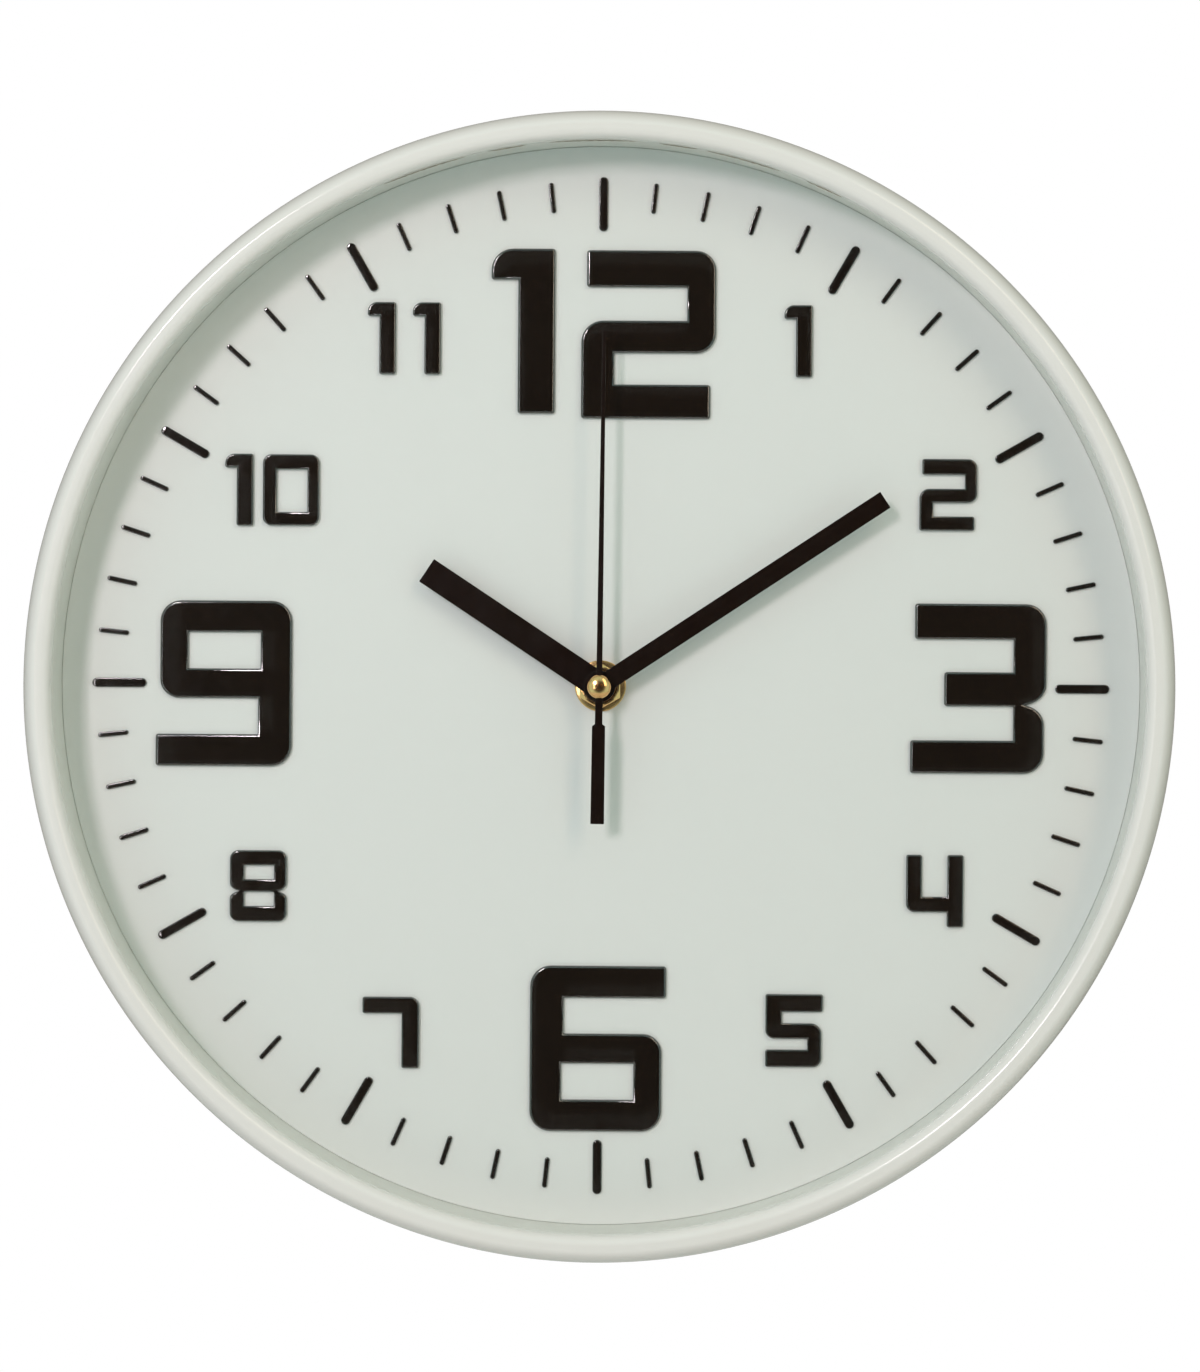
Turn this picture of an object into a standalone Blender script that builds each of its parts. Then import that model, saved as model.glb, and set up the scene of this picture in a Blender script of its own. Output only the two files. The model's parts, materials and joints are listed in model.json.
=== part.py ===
"""A round 300 mm quartz wall clock, built as the separate pieces it is assembled from.

Frame: X to the right, Z up, the dial looks along -Y, and the wall is the plane y = 0.
The origin is the nail that the hanger plate hangs on.  All pieces are children of the
empty clock_axis, which lies on the hands' axis, in the plane of the wall.
Depths are measured in millimetres forward from the wall.
"""

import math

import bmesh
import bpy
from mathutils import Matrix

MM = 0.001  # one millimetre in metres; every dimension below is in millimetres
PLAY = 0.3  # gap between pieces that touch

# ---- Case: rim, glass, back pan, dial ------------------------------------------------
HANGER_DROP = 105.0  # from the nail down to the hands' axis
RIM_RADIUS = 150.0
RIM_DEPTH = 42.0
CREST_RADIUS = 144.2  # where the rim stands furthest forward
WIDEST_DEPTH = 33.5
LIP_RADIUS = 141.8
LIP_DEPTH = 39.4
RIM_REAR_RADIUS = 149.1
RIM_INNER_RADIUS = 146.9
PAN_WALL_RADIUS = 143.0
PAN_WALL = 1.4
PAN_FLOOR = (18.9, 20.4)
FLANGE = (1.9, 3.9)
FLANGE_RADIUS = 148.8
FOOT_RADIUS = 141.2
RIM_REAR = FLANGE[1] + PLAY
DIAL_BACK = PAN_FLOOR[1] + PLAY
DIAL_FRONT = DIAL_BACK + 1.6
DIAL_RADIUS = PAN_WALL_RADIUS - PLAY
GLASS = (35.6, 37.4)
GLASS_RADIUS = 144.6
LIP_REAR = GLASS[1] + PLAY
ROUND_SEGMENTS = 72

COVER_SCREWS = 6
COVER_SCREW_RADIUS = 146.9
COVER_SCREW = (1.9, 0.4, 0.9, 14.0)  # head radius, head depth, shank radius, depth of the tip
BOSS = (144.9, RIM_INNER_RADIUS + 0.6, 7.0)  # inner radius, outer radius, width
RIB_COUNT = 8
RIB = (46.0, 142.0, 1.6, 2.5)  # inner radius, outer radius, width, height

# ---- Dial marks and numerals ---------------------------------------------------------
HOUR_BAR = (127.4, 13.9, 2.45)  # radius of the middle, length, width
MINUTE_BAR = (129.8, 8.0, 1.3)
MARK_HEIGHT = 0.7
NUMERAL = (DIAL_FRONT + PLAY, DIAL_FRONT + PLAY + 1.0)

# ---- Hanger --------------------------------------------------------------------------
HANGER_PLATE = (1.6, 2.6)
HANGER_SIZE = (44.0, 19.0)
HANGER_CENTRE = 101.0  # height above the hands' axis
KEYHOLE_ENTRY = (98.0, 4.7)  # height of the centre, radius
KEYHOLE_SLOT = (HANGER_DROP, 2.2)
HANGER_POSTS = (-16.0, 16.0)
HANGER_POST_RADIUS = 4.0
HANGER_SCREW = (2.5, 0.2, 0.9, 9.0)

# ---- Hands: depth range, length and width --------------------------------------------
HOUR_HAND = ((27.3, 27.7), 54.5, 6.7)
MINUTE_HAND = ((29.9, 30.3), 90.0, 4.9)
SECOND_HAND = (32.7, 33.0)
HOUR_ANGLE = 303.75  # clockwise from twelve
MINUTE_ANGLE = 56.5
HUB_RADIUS = 4.1

# ---- Quartz movement -----------------------------------------------------------------
CASE_SIZE = 56.0
CASE_WALL = 1.0
FRONT_CASE = (8.0, 17.6)
REAR_CASE = (2.6, 7.7)
BUSHING_RADIUS = 3.9
BUSHING = (16.9, 26.6)
PANEL_HOLE = BUSHING_RADIUS + 0.4
MIDDLE_PLATE = (9.3, 10.2)
ARBOR_RADIUS = 0.45
ARBOR_REAR = 4.0
ARBOR_FRONT = 9.8
MINUTE_TUBE = (1.5, 0.9)  # outer and inner radius
HOUR_TUBE = (2.5, 1.8)

SET_KNOB = (0.5, 2.3)
SET_KNOB_RADII = (5.1, 5.5)

BATTERY_RADIUS = 7.1
BATTERY_CENTRE = (-18.6, 8.3)  # height and depth of its axis
BAY = (26.0, -26.0, -11.2, 15.6)  # half length, bottom, top, depth of the floor
BAY_WALL = 0.7

# Teeth: the rotor turns 30 times as fast as the second hand, which turns 60 times as
# fast as the minute hand, which turns 12 times as fast as the hour hand.
ROTOR_PINION, INTERMEDIATE_WHEEL = 6, 30
INTERMEDIATE_PINION, SECONDS_WHEEL = 6, 36
SECONDS_PINION, THIRD_WHEEL = 6, 45
THIRD_PINION, CENTRE_WHEEL = 6, 48
CANNON_PINION, MOTION_WHEEL = 12, 36
MOTION_PINION, HOUR_WHEEL = 8, 32

# Depth ranges of each wheel and its pinion; the rotor has a magnet for a wheel.
ROTOR_LAYERS = ((6.4, 8.2), (4.5, 6.0))
INTERMEDIATE_LAYERS = ((4.6, 5.2), (5.1, 6.8))
SECONDS_LAYERS = ((6.0, 6.6), (7.6, 9.0))
THIRD_LAYERS = ((8.1, 8.7), (10.7, 12.1))
CENTRE_LAYERS = ((11.0, 11.8), (12.9, 14.6))
MOTION_LAYERS = ((13.4, 14.1), (13.9, 16.0))
HOUR_LAYER = (15.0, 15.9)
MAGNET_RADIUS = 2.1

THIRD_DISTANCE = 8.1
MOTION_DISTANCE = 9.6
ROTOR_MODULE = 0.3
INTERMEDIATE_MODULE = 0.32
SECONDS_MODULE = 2 * THIRD_DISTANCE / (SECONDS_PINION + THIRD_WHEEL)
THIRD_MODULE = 2 * THIRD_DISTANCE / (THIRD_PINION + CENTRE_WHEEL)
CANNON_MODULE = 2 * MOTION_DISTANCE / (CANNON_PINION + MOTION_WHEEL)
MOTION_MODULE = 2 * MOTION_DISTANCE / (MOTION_PINION + HOUR_WHEEL)


def at_clock_angle(radius, degrees, centre=(0.0, 0.0)):
    """The point at a distance and a clockwise angle from twelve."""
    angle = math.radians(degrees)
    return (centre[0] + radius * math.sin(angle), centre[1] + radius * math.cos(angle))


def heading(start, end):
    """The clockwise angle from twelve of the direction from one axis to another."""
    return math.degrees(math.atan2(end[0] - start[0], end[1] - start[1]))


HANDS_AXIS = (0.0, 0.0)
THIRD_AXIS = at_clock_angle(THIRD_DISTANCE, 90)
MOTION_AXIS = at_clock_angle(MOTION_DISTANCE, 285)
INTERMEDIATE_AXIS = at_clock_angle(
    INTERMEDIATE_MODULE * (INTERMEDIATE_PINION + SECONDS_WHEEL) / 2, 15
)
ROTOR_AXIS = at_clock_angle(
    ROTOR_MODULE * (ROTOR_PINION + INTERMEDIATE_WHEEL) / 2, 30, INTERMEDIATE_AXIS
)

# Glyph outlines: corners (x, z, rounding radius), measured from each glyph's lower left.
BIG_ONE = [
    (17.0, 43.7, 0.6), (17.0, 0, 0.6), (7.1, 0, 0.6), (7.1, 35.4, 0),
    (0, 35.4, 0.3), (0, 43.7, 5.8),
]
BIG_TWO = [
    (1.4, 44.6, 0.6), (35.7, 44.6, 5.3), (35.7, 17.4, 5.3), (8.8, 17.4, 0),
    (8.8, 9.1, 0), (34.3, 9.1, 0.6), (34.3, 0, 0.6), (0, 0, 0.6),
    (0, 26.0, 5.8), (28.0, 26.0, 0), (28.0, 34.8, 0), (1.4, 34.8, 0.6),
]
BIG_THREE = [
    (1.1, 45.0, 0.6), (36.0, 45.0, 5.5), (36.0, 20.0, 5.2), (30.5, 18.2, 0),
    (35.4, 16.6, 5.2), (35.4, 0, 5.5), (0, 0, 0.5), (0, 8.8, 0.5),
    (27.2, 8.8, 0), (27.2, 17.8, 0), (8.9, 17.8, 0.8), (8.9, 26.9, 0.8),
    (27.2, 26.9, 0), (27.2, 35.5, 0), (1.1, 35.5, 0.6),
]
BIG_SIX = [
    (0, 43.9, 5.5), (36.1, 43.9, 0.7), (36.1, 35.4, 0.7), (9.0, 35.4, 0),
    (9.0, 25.9, 0), (35.0, 25.9, 5.0), (35.0, 0, 5.5), (0, 0, 5.5),
]
BIG_SIX_EYE = [(8.4, 8.4, 0), (8.4, 18.0, 0), (27.5, 18.0, 0), (27.5, 8.4, 0)]
ONE = [
    (7.5, 19.1, 0.4), (7.5, 0, 0.4), (3.1, 0, 0.4), (3.1, 15.4, 0),
    (0, 15.4, 0.2), (0, 19.1, 2.6),
]
TWO = [
    (0.7, 19.0, 0.4), (15.3, 19.0, 2.4), (15.3, 7.4, 2.4), (3.7, 7.4, 0),
    (3.7, 3.8, 0), (14.6, 3.8, 0.4), (14.6, 0, 0.4), (0, 0, 0.4),
    (0, 11.1, 2.6), (12.0, 11.1, 0), (12.0, 14.8, 0), (0.7, 14.8, 0.4),
]
FOUR = [
    (0, 19.2, 0.5), (4.2, 19.2, 0.5), (4.2, 8.1, 0), (10.9, 8.1, 0),
    (10.9, 19.2, 0.5), (15.2, 19.2, 0.5), (15.2, 0, 0.4), (10.8, 0, 0.4),
    (10.8, 4.0, 0), (0, 4.0, 2.2),
]
FIVE = [
    (0, 19.3, 0.5), (15.3, 19.3, 0.5), (15.2, 14.6, 0.4), (4.4, 14.6, 0),
    (4.4, 11.6, 0), (14.9, 11.6, 2.8), (14.9, 0, 2.3), (0, 0, 0.4),
    (0, 4.6, 0.4), (11.1, 4.6, 0), (11.1, 7.5, 0), (0, 7.5, 2.3),
]
SEVEN = [
    (0, 18.9, 0.5), (15.1, 18.9, 2.6), (15.1, 0, 0.4), (10.4, 0, 0.4),
    (10.4, 14.5, 0), (0, 14.5, 0.5),
]
EIGHT = [
    (0, 18.9, 2.3), (15.1, 18.9, 2.3), (15.1, 8.9, 2.0), (12.5, 8.1, 0),
    (15.1, 7.2, 1.8), (15.1, 0, 2.3), (0, 0, 2.3), (0, 7.2, 1.8),
    (2.6, 8.1, 0), (0, 8.9, 2.0),
]
EIGHT_UPPER_EYE = [(3.8, 11.2, 0), (3.8, 14.9, 0), (11.7, 14.9, 0), (11.7, 11.2, 0)]
EIGHT_LOWER_EYE = [(3.8, 4.1, 0), (3.8, 7.9, 0), (11.7, 7.9, 0), (11.7, 4.1, 0)]
ZERO = [(0, 18.9, 2.3), (15.0, 18.9, 2.3), (15.0, 0, 2.3), (0, 0, 2.3)]
ZERO_EYE = [(3.7, 3.6, 0), (3.7, 14.9, 0), (11.8, 14.9, 0), (11.8, 3.6, 0)]

# Node name, outline, eyes, centre on the dial, half turns.
NUMERALS = [
    ("numeral_12_one", BIG_ONE, [], (-21.1, 93.85), 0),
    ("numeral_12_two", BIG_TWO, [], (12.15, 93.1), 0),
    ("numeral_1", ONE, [], (51.8, 91.6), 0),
    ("numeral_2", TWO, [], (91.75, 51.2), 0),
    ("numeral_3", BIG_THREE, [], (100.1, -0.05), 0),
    ("numeral_4", FOUR, [], (88.9, -53.7), 0),
    ("numeral_5", FIVE, [], (51.95, -90.95), 0),
    ("numeral_6", BIG_SIX, [BIG_SIX_EYE], (-0.05, -96.15), 0),
    ("numeral_7", SEVEN, [], (-54.95, -92.25), 0),
    ("numeral_8", EIGHT, [EIGHT_UPPER_EYE, EIGHT_LOWER_EYE], (-90.35, -53.65), 0),
    ("numeral_9", BIG_SIX, [BIG_SIX_EYE], (-99.8, 0.0), 1),
    ("numeral_10_one", ONE, [], (-96.1, 51.35), 0),
    ("numeral_10_zero", ZERO, [ZERO_EYE], (-82.3, 51.35), 0),
    ("numeral_11_left", ONE, [], (-58.55, 91.75), 0),
    ("numeral_11_right", ONE, [], (-46.6, 91.75), 0),
]


# ---- Outlines (lists of x, z in millimetres) -----------------------------------------
def circle(radius, segments=24, centre=(0.0, 0.0)):
    return [at_clock_angle(radius, 360 * i / segments, centre) for i in range(segments)]


def rounded(corners, steps=4):
    """An outline whose corners are arcs; small ones are a single bevel."""
    outline = []
    for i, (x, z, radius) in enumerate(corners):
        before = corners[i - 1]
        after = corners[(i + 1) % len(corners)]
        if radius == 0:
            outline.append((x, z))
            continue
        to_before = math.atan2(before[1] - z, before[0] - x)
        to_after = math.atan2(after[1] - z, after[0] - x)
        opening = (to_after - to_before + math.pi) % (2 * math.pi) - math.pi
        middle = to_before + opening / 2
        reach = radius / math.sin(abs(opening) / 2)
        cx = x + reach * math.cos(middle)
        cz = z + reach * math.sin(middle)
        sweep = math.copysign(math.pi - abs(opening), opening)
        count = steps if radius > 1.5 else 1
        for k in range(count + 1):
            angle = middle + math.pi + sweep * (0.5 - k / count)
            outline.append((cx + radius * math.cos(angle), cz + radius * math.sin(angle)))
    return outline


def rectangle(left, right, bottom, top, radius=0.0):
    return rounded(
        [(left, top, radius), (right, top, radius), (right, bottom, radius), (left, bottom, radius)]
    )


def stadium(length, width, segments=3):
    """An upright bar with half-round ends, centred on the origin."""
    radius = width / 2
    top = [
        at_clock_angle(radius, -90 + 180 * i / segments, (0.0, length / 2 - radius))
        for i in range(segments + 1)
    ]
    return top + [(-x, -z) for x, z in top]


def turned_outline(outline, degrees, centre=(0.0, 0.0)):
    """The outline turned clockwise about its own origin and then moved."""
    c = math.cos(math.radians(degrees))
    s = math.sin(math.radians(degrees))
    return [(centre[0] + x * c + z * s, centre[1] - x * s + z * c) for x, z in outline]


def gear(teeth, module, phase):
    """A gear's outline, four points a tooth; phase is the clock angle of one tooth."""
    pitch_radius = teeth * module / 2
    root = pitch_radius - 1.1 * module
    tip = pitch_radius + 0.8 * module
    step = 360 / teeth
    flanks = ((root, -0.27), (tip, -0.11), (tip, 0.11), (root, 0.27))
    return [
        at_clock_angle(radius, phase + step * (tooth + offset))
        for tooth in range(teeth)
        for radius, offset in flanks
    ]


def driving_phase(own_axis, other_axis):
    """A tooth points straight at the other gear."""
    return heading(own_axis, other_axis)


def driven_phase(own_axis, other_axis, teeth):
    """A gap between two teeth faces the other gear."""
    return heading(own_axis, other_axis) + 180 / teeth


def hand_outline(length, width, hub_radius):
    """A flat bar pointing at twelve, whose inner end is a round hub."""
    half = width / 2
    meeting = math.degrees(math.asin(half / hub_radius))
    steps = 16
    hub = [
        at_clock_angle(hub_radius, meeting + (360 - 2 * meeting) * i / steps)
        for i in range(steps + 1)
    ]
    return [(-half, length), (half, length)] + hub


# ---- Solids (meshes around their own axis, depths from the wall) ----------------------
def as_mesh(shape):
    bmesh.ops.recalc_face_normals(shape, faces=shape.faces[:])
    mesh = bpy.data.meshes.new("solid")
    shape.to_mesh(mesh)
    shape.free()
    return mesh


def prism(outline, depths, holes=()):
    """A plate with an outline and holes, between two depths."""
    shape = bmesh.new()
    back, front = depths
    for loop in (outline, *holes):
        corners = [shape.verts.new((x * MM, -back * MM, z * MM)) for x, z in loop]
        for first, second in zip(corners, corners[1:] + corners[:1]):
            shape.edges.new((first, second))
    bmesh.ops.triangle_fill(shape, edges=shape.edges[:], use_beauty=True)
    grown = bmesh.ops.extrude_face_region(shape, geom=shape.faces[:])
    raised = [item for item in grown["geom"] if isinstance(item, bmesh.types.BMVert)]
    bmesh.ops.translate(shape, verts=raised, vec=(0.0, (back - front) * MM, 0.0))
    return as_mesh(shape)


def prisms(outlines, depths):
    """Several separate plates in one mesh, for one union."""
    shape = bmesh.new()
    for outline in outlines:
        piece = prism(outline, depths)
        shape.from_mesh(piece)
        bpy.data.meshes.remove(piece)
    return as_mesh(shape)


def turned(profile, segments=ROUND_SEGMENTS):
    """A closed profile of (radius, depth) turned about the axis."""
    shape = bmesh.new()
    rings = []
    for radius, depth in profile:
        if radius == 0:
            rings.append([shape.verts.new((0.0, -depth * MM, 0.0))] * segments)
            continue
        ring = circle(radius, segments)
        rings.append([shape.verts.new((x * MM, -depth * MM, z * MM)) for x, z in ring])
    for ring, following in zip(rings, rings[1:] + rings[:1]):
        for i in range(segments):
            j = (i + 1) % segments
            corners = dict.fromkeys((ring[i], ring[j], following[j], following[i]))
            if len(corners) > 2:
                shape.faces.new(corners)
    return as_mesh(shape)


def combined(base, tool, operation):
    """The base mesh with the tool mesh added to it or cut from it."""
    target = bpy.data.objects.new("target", base)
    other = bpy.data.objects.new("tool", tool)
    for item in (target, other):
        bpy.context.scene.collection.objects.link(item)
    modifier = target.modifiers.new("combine", "BOOLEAN")
    modifier.operation = operation
    modifier.solver = "EXACT"
    modifier.object = other
    graph = bpy.context.evaluated_depsgraph_get()
    result = bpy.data.meshes.new_from_object(target.evaluated_get(graph))
    for item in (target, other):
        bpy.data.objects.remove(item)
    for mesh in (base, tool):
        bpy.data.meshes.remove(mesh)
    return result


def union(base, *tools):
    for tool in tools:
        base = combined(base, tool, "UNION")
    return base


def cut(base, *tools):
    for tool in tools:
        base = combined(base, tool, "DIFFERENCE")
    return base


def along_x(mesh):
    """Turns a mesh's depth direction to +X, and its x to +Y."""
    mesh.transform(Matrix.Rotation(math.pi / 2, 4, "Z"))
    return mesh


def wheel_on_arbor(wheel, wheel_depths, pinion, pinion_depths, arbor_front):
    """A gear wheel, its pinion and the arbor they turn on, as one piece."""
    arbor = prism(circle(ARBOR_RADIUS, 12), (ARBOR_REAR, arbor_front))
    return union(prism(wheel, wheel_depths), prism(pinion, pinion_depths), arbor)


# ---- Scene ---------------------------------------------------------------------------
def clear_scene():
    for item in list(bpy.data.objects):
        bpy.data.objects.remove(item)


def material(name, colour, roughness, metallic=0.0, transmission=0.0):
    finish = bpy.data.materials.new(name)
    finish.use_nodes = True
    shader = finish.node_tree.nodes["Principled BSDF"]
    shader.inputs["Base Color"].default_value = (*colour, 1.0)
    shader.inputs["Roughness"].default_value = roughness
    shader.inputs["Metallic"].default_value = metallic
    shader.inputs["Transmission Weight"].default_value = transmission
    return finish


def add(name, mesh, finish, axis=(0.0, 0.0)):
    """Places a mesh as a named piece; axis is where its own axis lies on the dial."""
    mesh.name = name
    mesh.materials.clear()
    mesh.materials.append(finish)
    mesh.shade_smooth()
    mesh.set_sharp_from_angle(angle=math.radians(35))
    piece = bpy.data.objects.new(name, mesh)
    bpy.context.scene.collection.objects.link(piece)
    piece.parent = CLOCK_AXIS
    piece.location = (axis[0] * MM, 0.0, axis[1] * MM)
    return piece


# ---- Case ----------------------------------------------------------------------------
def quarter_ellipse(start, end, steps, vertical_first):
    """Points after start, up to and including end, on a quarter of an ellipse."""
    points = []
    for i in range(1, steps + 1):
        angle = math.pi / 2 * i / steps
        grow, turn = math.sin(angle), 1 - math.cos(angle)
        share_r, share_d = (turn, grow) if vertical_first else (grow, turn)
        points.append(
            (start[0] + (end[0] - start[0]) * share_r, start[1] + (end[1] - start[1]) * share_d)
        )
    return points


def rim_profile():
    widest = (RIM_RADIUS, WIDEST_DEPTH)
    crest = (CREST_RADIUS, RIM_DEPTH)
    lip = (LIP_RADIUS, LIP_DEPTH)
    return [
        (RIM_INNER_RADIUS, RIM_REAR),
        (RIM_REAR_RADIUS - 0.5, RIM_REAR),
        (RIM_REAR_RADIUS, RIM_REAR + 0.5),
        widest,
        *quarter_ellipse(widest, crest, 5, True),
        *quarter_ellipse(crest, lip, 3, False),
        (LIP_RADIUS, LIP_REAR),
        (RIM_INNER_RADIUS, LIP_REAR),
    ]


def cover_screw_places():
    return [
        (at_clock_angle(COVER_SCREW_RADIUS, angle), angle)
        for angle in (30 + 360 / COVER_SCREWS * i for i in range(COVER_SCREWS))
    ]


def radial_bars(inner, outer, width, angles):
    """Rectangles that point away from the hands' axis."""
    half = (outer - inner) / 2
    bar = rectangle(-width / 2, width / 2, -half, half)
    return [turned_outline(bar, a, at_clock_angle(inner + half, a)) for a in angles]


def build_case():
    rim = turned(rim_profile())
    blocks = radial_bars(*BOSS, [angle for _, angle in cover_screw_places()])
    pilots = [circle(1.1, 10, place) for place, _ in cover_screw_places()]
    rim = union(rim, prisms(blocks, (RIM_REAR, LIP_REAR + 0.2)))
    rim = cut(rim, prisms(pilots, (RIM_REAR - 1, 18.0)))
    add("case_rim", rim, WHITE_GLOSS)

    add("glass_lens", prism(circle(GLASS_RADIUS, ROUND_SEGMENTS), GLASS), GLASS_CLEAR)


def build_back_pan():
    outer = PAN_WALL_RADIUS + PAN_WALL
    floor_back, floor_front = PAN_FLOOR
    profile = [
        (PANEL_HOLE, floor_front),
        (PAN_WALL_RADIUS, floor_front),
        (PAN_WALL_RADIUS, GLASS[0] - PLAY),
        (outer, GLASS[0] - PLAY),
        (outer, FLANGE[1]),
        (FLANGE_RADIUS, FLANGE[1]),
        (FLANGE_RADIUS, FLANGE[0]),
        (outer, FLANGE[0]),
        (outer, 0.0),
        (FOOT_RADIUS, 0.0),
        (FOOT_RADIUS, floor_back),
        (PANEL_HOLE, floor_back),
    ]
    inner, end, width, height = RIB
    ribs = radial_bars(inner, end, width, [360 / RIB_COUNT * (i + 0.5) for i in range(RIB_COUNT)])
    posts = [circle(HANGER_POST_RADIUS, 16, (x, HANGER_CENTRE)) for x in HANGER_POSTS]
    pilots = [circle(1.2, 10, (x, HANGER_CENTRE)) for x in HANGER_POSTS]
    holes = [circle(1.3, 10, place) for place, _ in cover_screw_places()]
    pan = union(
        turned(profile),
        prisms(ribs, (floor_back - height, floor_back + 0.4)),
        prisms(posts, (HANGER_PLATE[1] + PLAY, floor_back + 0.4)),
    )
    pan = cut(pan, prisms(pilots, (2.0, 12.0)), prisms(holes, (FLANGE[0] - 1, FLANGE[1] + 1)))
    add("back_pan", pan, WHITE_MATTE)


def build_dial():
    disc = prism(
        circle(DIAL_RADIUS, ROUND_SEGMENTS), (DIAL_BACK, DIAL_FRONT), [circle(PANEL_HOLE)]
    )
    marks = []
    for minute in range(60):
        radius, length, width = MINUTE_BAR if minute % 5 else HOUR_BAR
        angle = 6 * minute
        marks.append(turned_outline(stadium(length, width), angle, at_clock_angle(radius, angle)))
    dial = union(disc, prisms(marks, (DIAL_FRONT - 0.5, DIAL_FRONT + MARK_HEIGHT)))
    add("dial", dial, DIAL_WHITE)


def glyph(corners, eyes, half_turns):
    """The outline and the eyes of a glyph, around its own middle."""
    width = max(x for x, _, _ in corners)
    height = max(z for _, z, _ in corners)
    loops = [[(x - width / 2, z - height / 2) for x, z in rounded(c)] for c in (corners, *eyes)]
    outline, *holes = [turned_outline(loop, 180 * half_turns) for loop in loops]
    return outline, holes


def build_numerals():
    for name, corners, eyes, centre, half_turns in NUMERALS:
        outline, holes = glyph(corners, eyes, half_turns)
        add(name, prism(outline, NUMERAL, holes), BLACK_GLOSS, centre)


def screw(head_radius, back, shank_radius, shank_end, seat, segments=16):
    """A pan-head screw with a cross recess, its head towards the wall, bearing on a seat."""
    front = seat - PLAY
    profile = [
        (0, back),
        (head_radius * 0.75, back),
        (head_radius, back + 0.5),
        (head_radius, front),
        (shank_radius, front),
        (shank_radius, shank_end - 1.5),
        (0, shank_end),
    ]
    body = turned(profile, segments)
    long, wide = head_radius * 0.55, head_radius * 0.13
    slot = [
        prism(rectangle(-long, long, -wide, wide), (back - 0.5, back + 0.55)),
        prism(rectangle(-wide, wide, -long, long), (back - 0.5, back + 0.55)),
    ]
    return cut(body, *slot)


def build_case_screws():
    mesh = screw(*COVER_SCREW, FLANGE[0])
    for number, (place, _) in enumerate(cover_screw_places(), 1):
        add(f"cover_screw_{number}", mesh, STEEL, place)


def build_hanger():
    width, height = HANGER_SIZE
    low, high = HANGER_CENTRE - height / 2, HANGER_CENTRE + height / 2
    entry_height, entry_radius = KEYHOLE_ENTRY
    slot_height, slot_radius = KEYHOLE_SLOT
    meeting = math.degrees(math.asin(slot_radius / entry_radius))
    entry = [
        at_clock_angle(entry_radius, meeting + (360 - 2 * meeting) * i / 18, (0.0, entry_height))
        for i in range(19)
    ]
    top = [at_clock_angle(slot_radius, -90 + 180 * i / 8, (0.0, slot_height)) for i in range(9)]
    screw_holes = [circle(1.4, 10, (x, HANGER_CENTRE)) for x in HANGER_POSTS]
    plate = prism(
        rectangle(-width / 2, width / 2, low, high, 3.0), HANGER_PLATE, [entry + top, *screw_holes]
    )
    add("hanger_plate", plate, STEEL)
    mesh = screw(*HANGER_SCREW, HANGER_PLATE[0])
    for side, x in zip(("left", "right"), HANGER_POSTS):
        add(f"hanger_screw_{side}", mesh, STEEL, (x, HANGER_CENTRE))


# ---- Hands and what holds the movement to the dial -------------------------------------
def build_hands():
    depths, length, width = HOUR_HAND
    outline = turned_outline(hand_outline(length, width, HUB_RADIUS), HOUR_ANGLE)
    add("hour_hand", prism(outline, depths, [circle(HOUR_TUBE[0] + 0.2)]), BLACK_HAND)

    depths, length, width = MINUTE_HAND
    outline = turned_outline(hand_outline(length, width, HUB_RADIUS), MINUTE_ANGLE)
    add("minute_hand", prism(outline, depths, [circle(MINUTE_TUBE[0] + 0.2)]), BLACK_HAND)

    hub = [at_clock_angle(2.5, 20 + 140 * i / 6) for i in range(7)]
    right = [(0.37, 93.3), (0.6, 3.0), *hub, (0.88, -3.0), (0.88, -9.8), (1.5, -10.3), (1.65, -35.6)]
    left = [(-x, z) for x, z in reversed(right)]
    add("second_hand", prism(right + left, SECOND_HAND, [circle(1.3, 16)]), BLACK_HAND)

    base = SECOND_HAND[1] + PLAY
    radius, height = 3.1, 1.6
    dome = [
        (radius * math.cos(math.radians(a)), base + 0.3 + (height - 0.3) * math.sin(math.radians(a)))
        for a in range(0, 90, 18)
    ]
    profile = [
        (0.65, base - 1.7), (1.0, base - 1.7), (1.0, base), (radius - 0.3, base),
        *dome, (0, base + height), (0, base + 0.7), (0.65, base + 0.7),
    ]
    add("second_hand_cap", turned(profile, 18), BRASS)


def build_bushing_stack():
    inner, outer = HOUR_TUBE[0] + PLAY, BUSHING_RADIUS
    back, front = BUSHING
    collar = (FRONT_CASE[1] + PLAY, FRONT_CASE[1] + 0.9)
    profile = [
        (inner, back), (outer, back), (outer, collar[0]), (5.2, collar[0]), (5.2, collar[1]),
        (outer, collar[1]), (outer, front - 0.4), (outer - 0.4, front), (inner, front),
    ]
    add("threaded_bushing", turned(profile, 18), BRASS)

    rubber = (FRONT_CASE[1] + PLAY, PAN_FLOOR[0] - PLAY)
    add("rubber_washer", prism(circle(11.0, 32), rubber, [circle(5.6)]), RUBBER)

    washer = (DIAL_FRONT + PLAY, DIAL_FRONT + PLAY + 0.7)
    add("brass_washer", prism(circle(6.8, 32), washer, [circle(outer + 0.3)]), BRASS)

    nut = (washer[1] + PLAY, washer[1] + PLAY + 2.2)
    hexagon = circle(5.3 / math.cos(math.radians(30)), 6)
    add("hex_nut", prism(hexagon, nut, [circle(outer + 0.25)]), BRASS)


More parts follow.
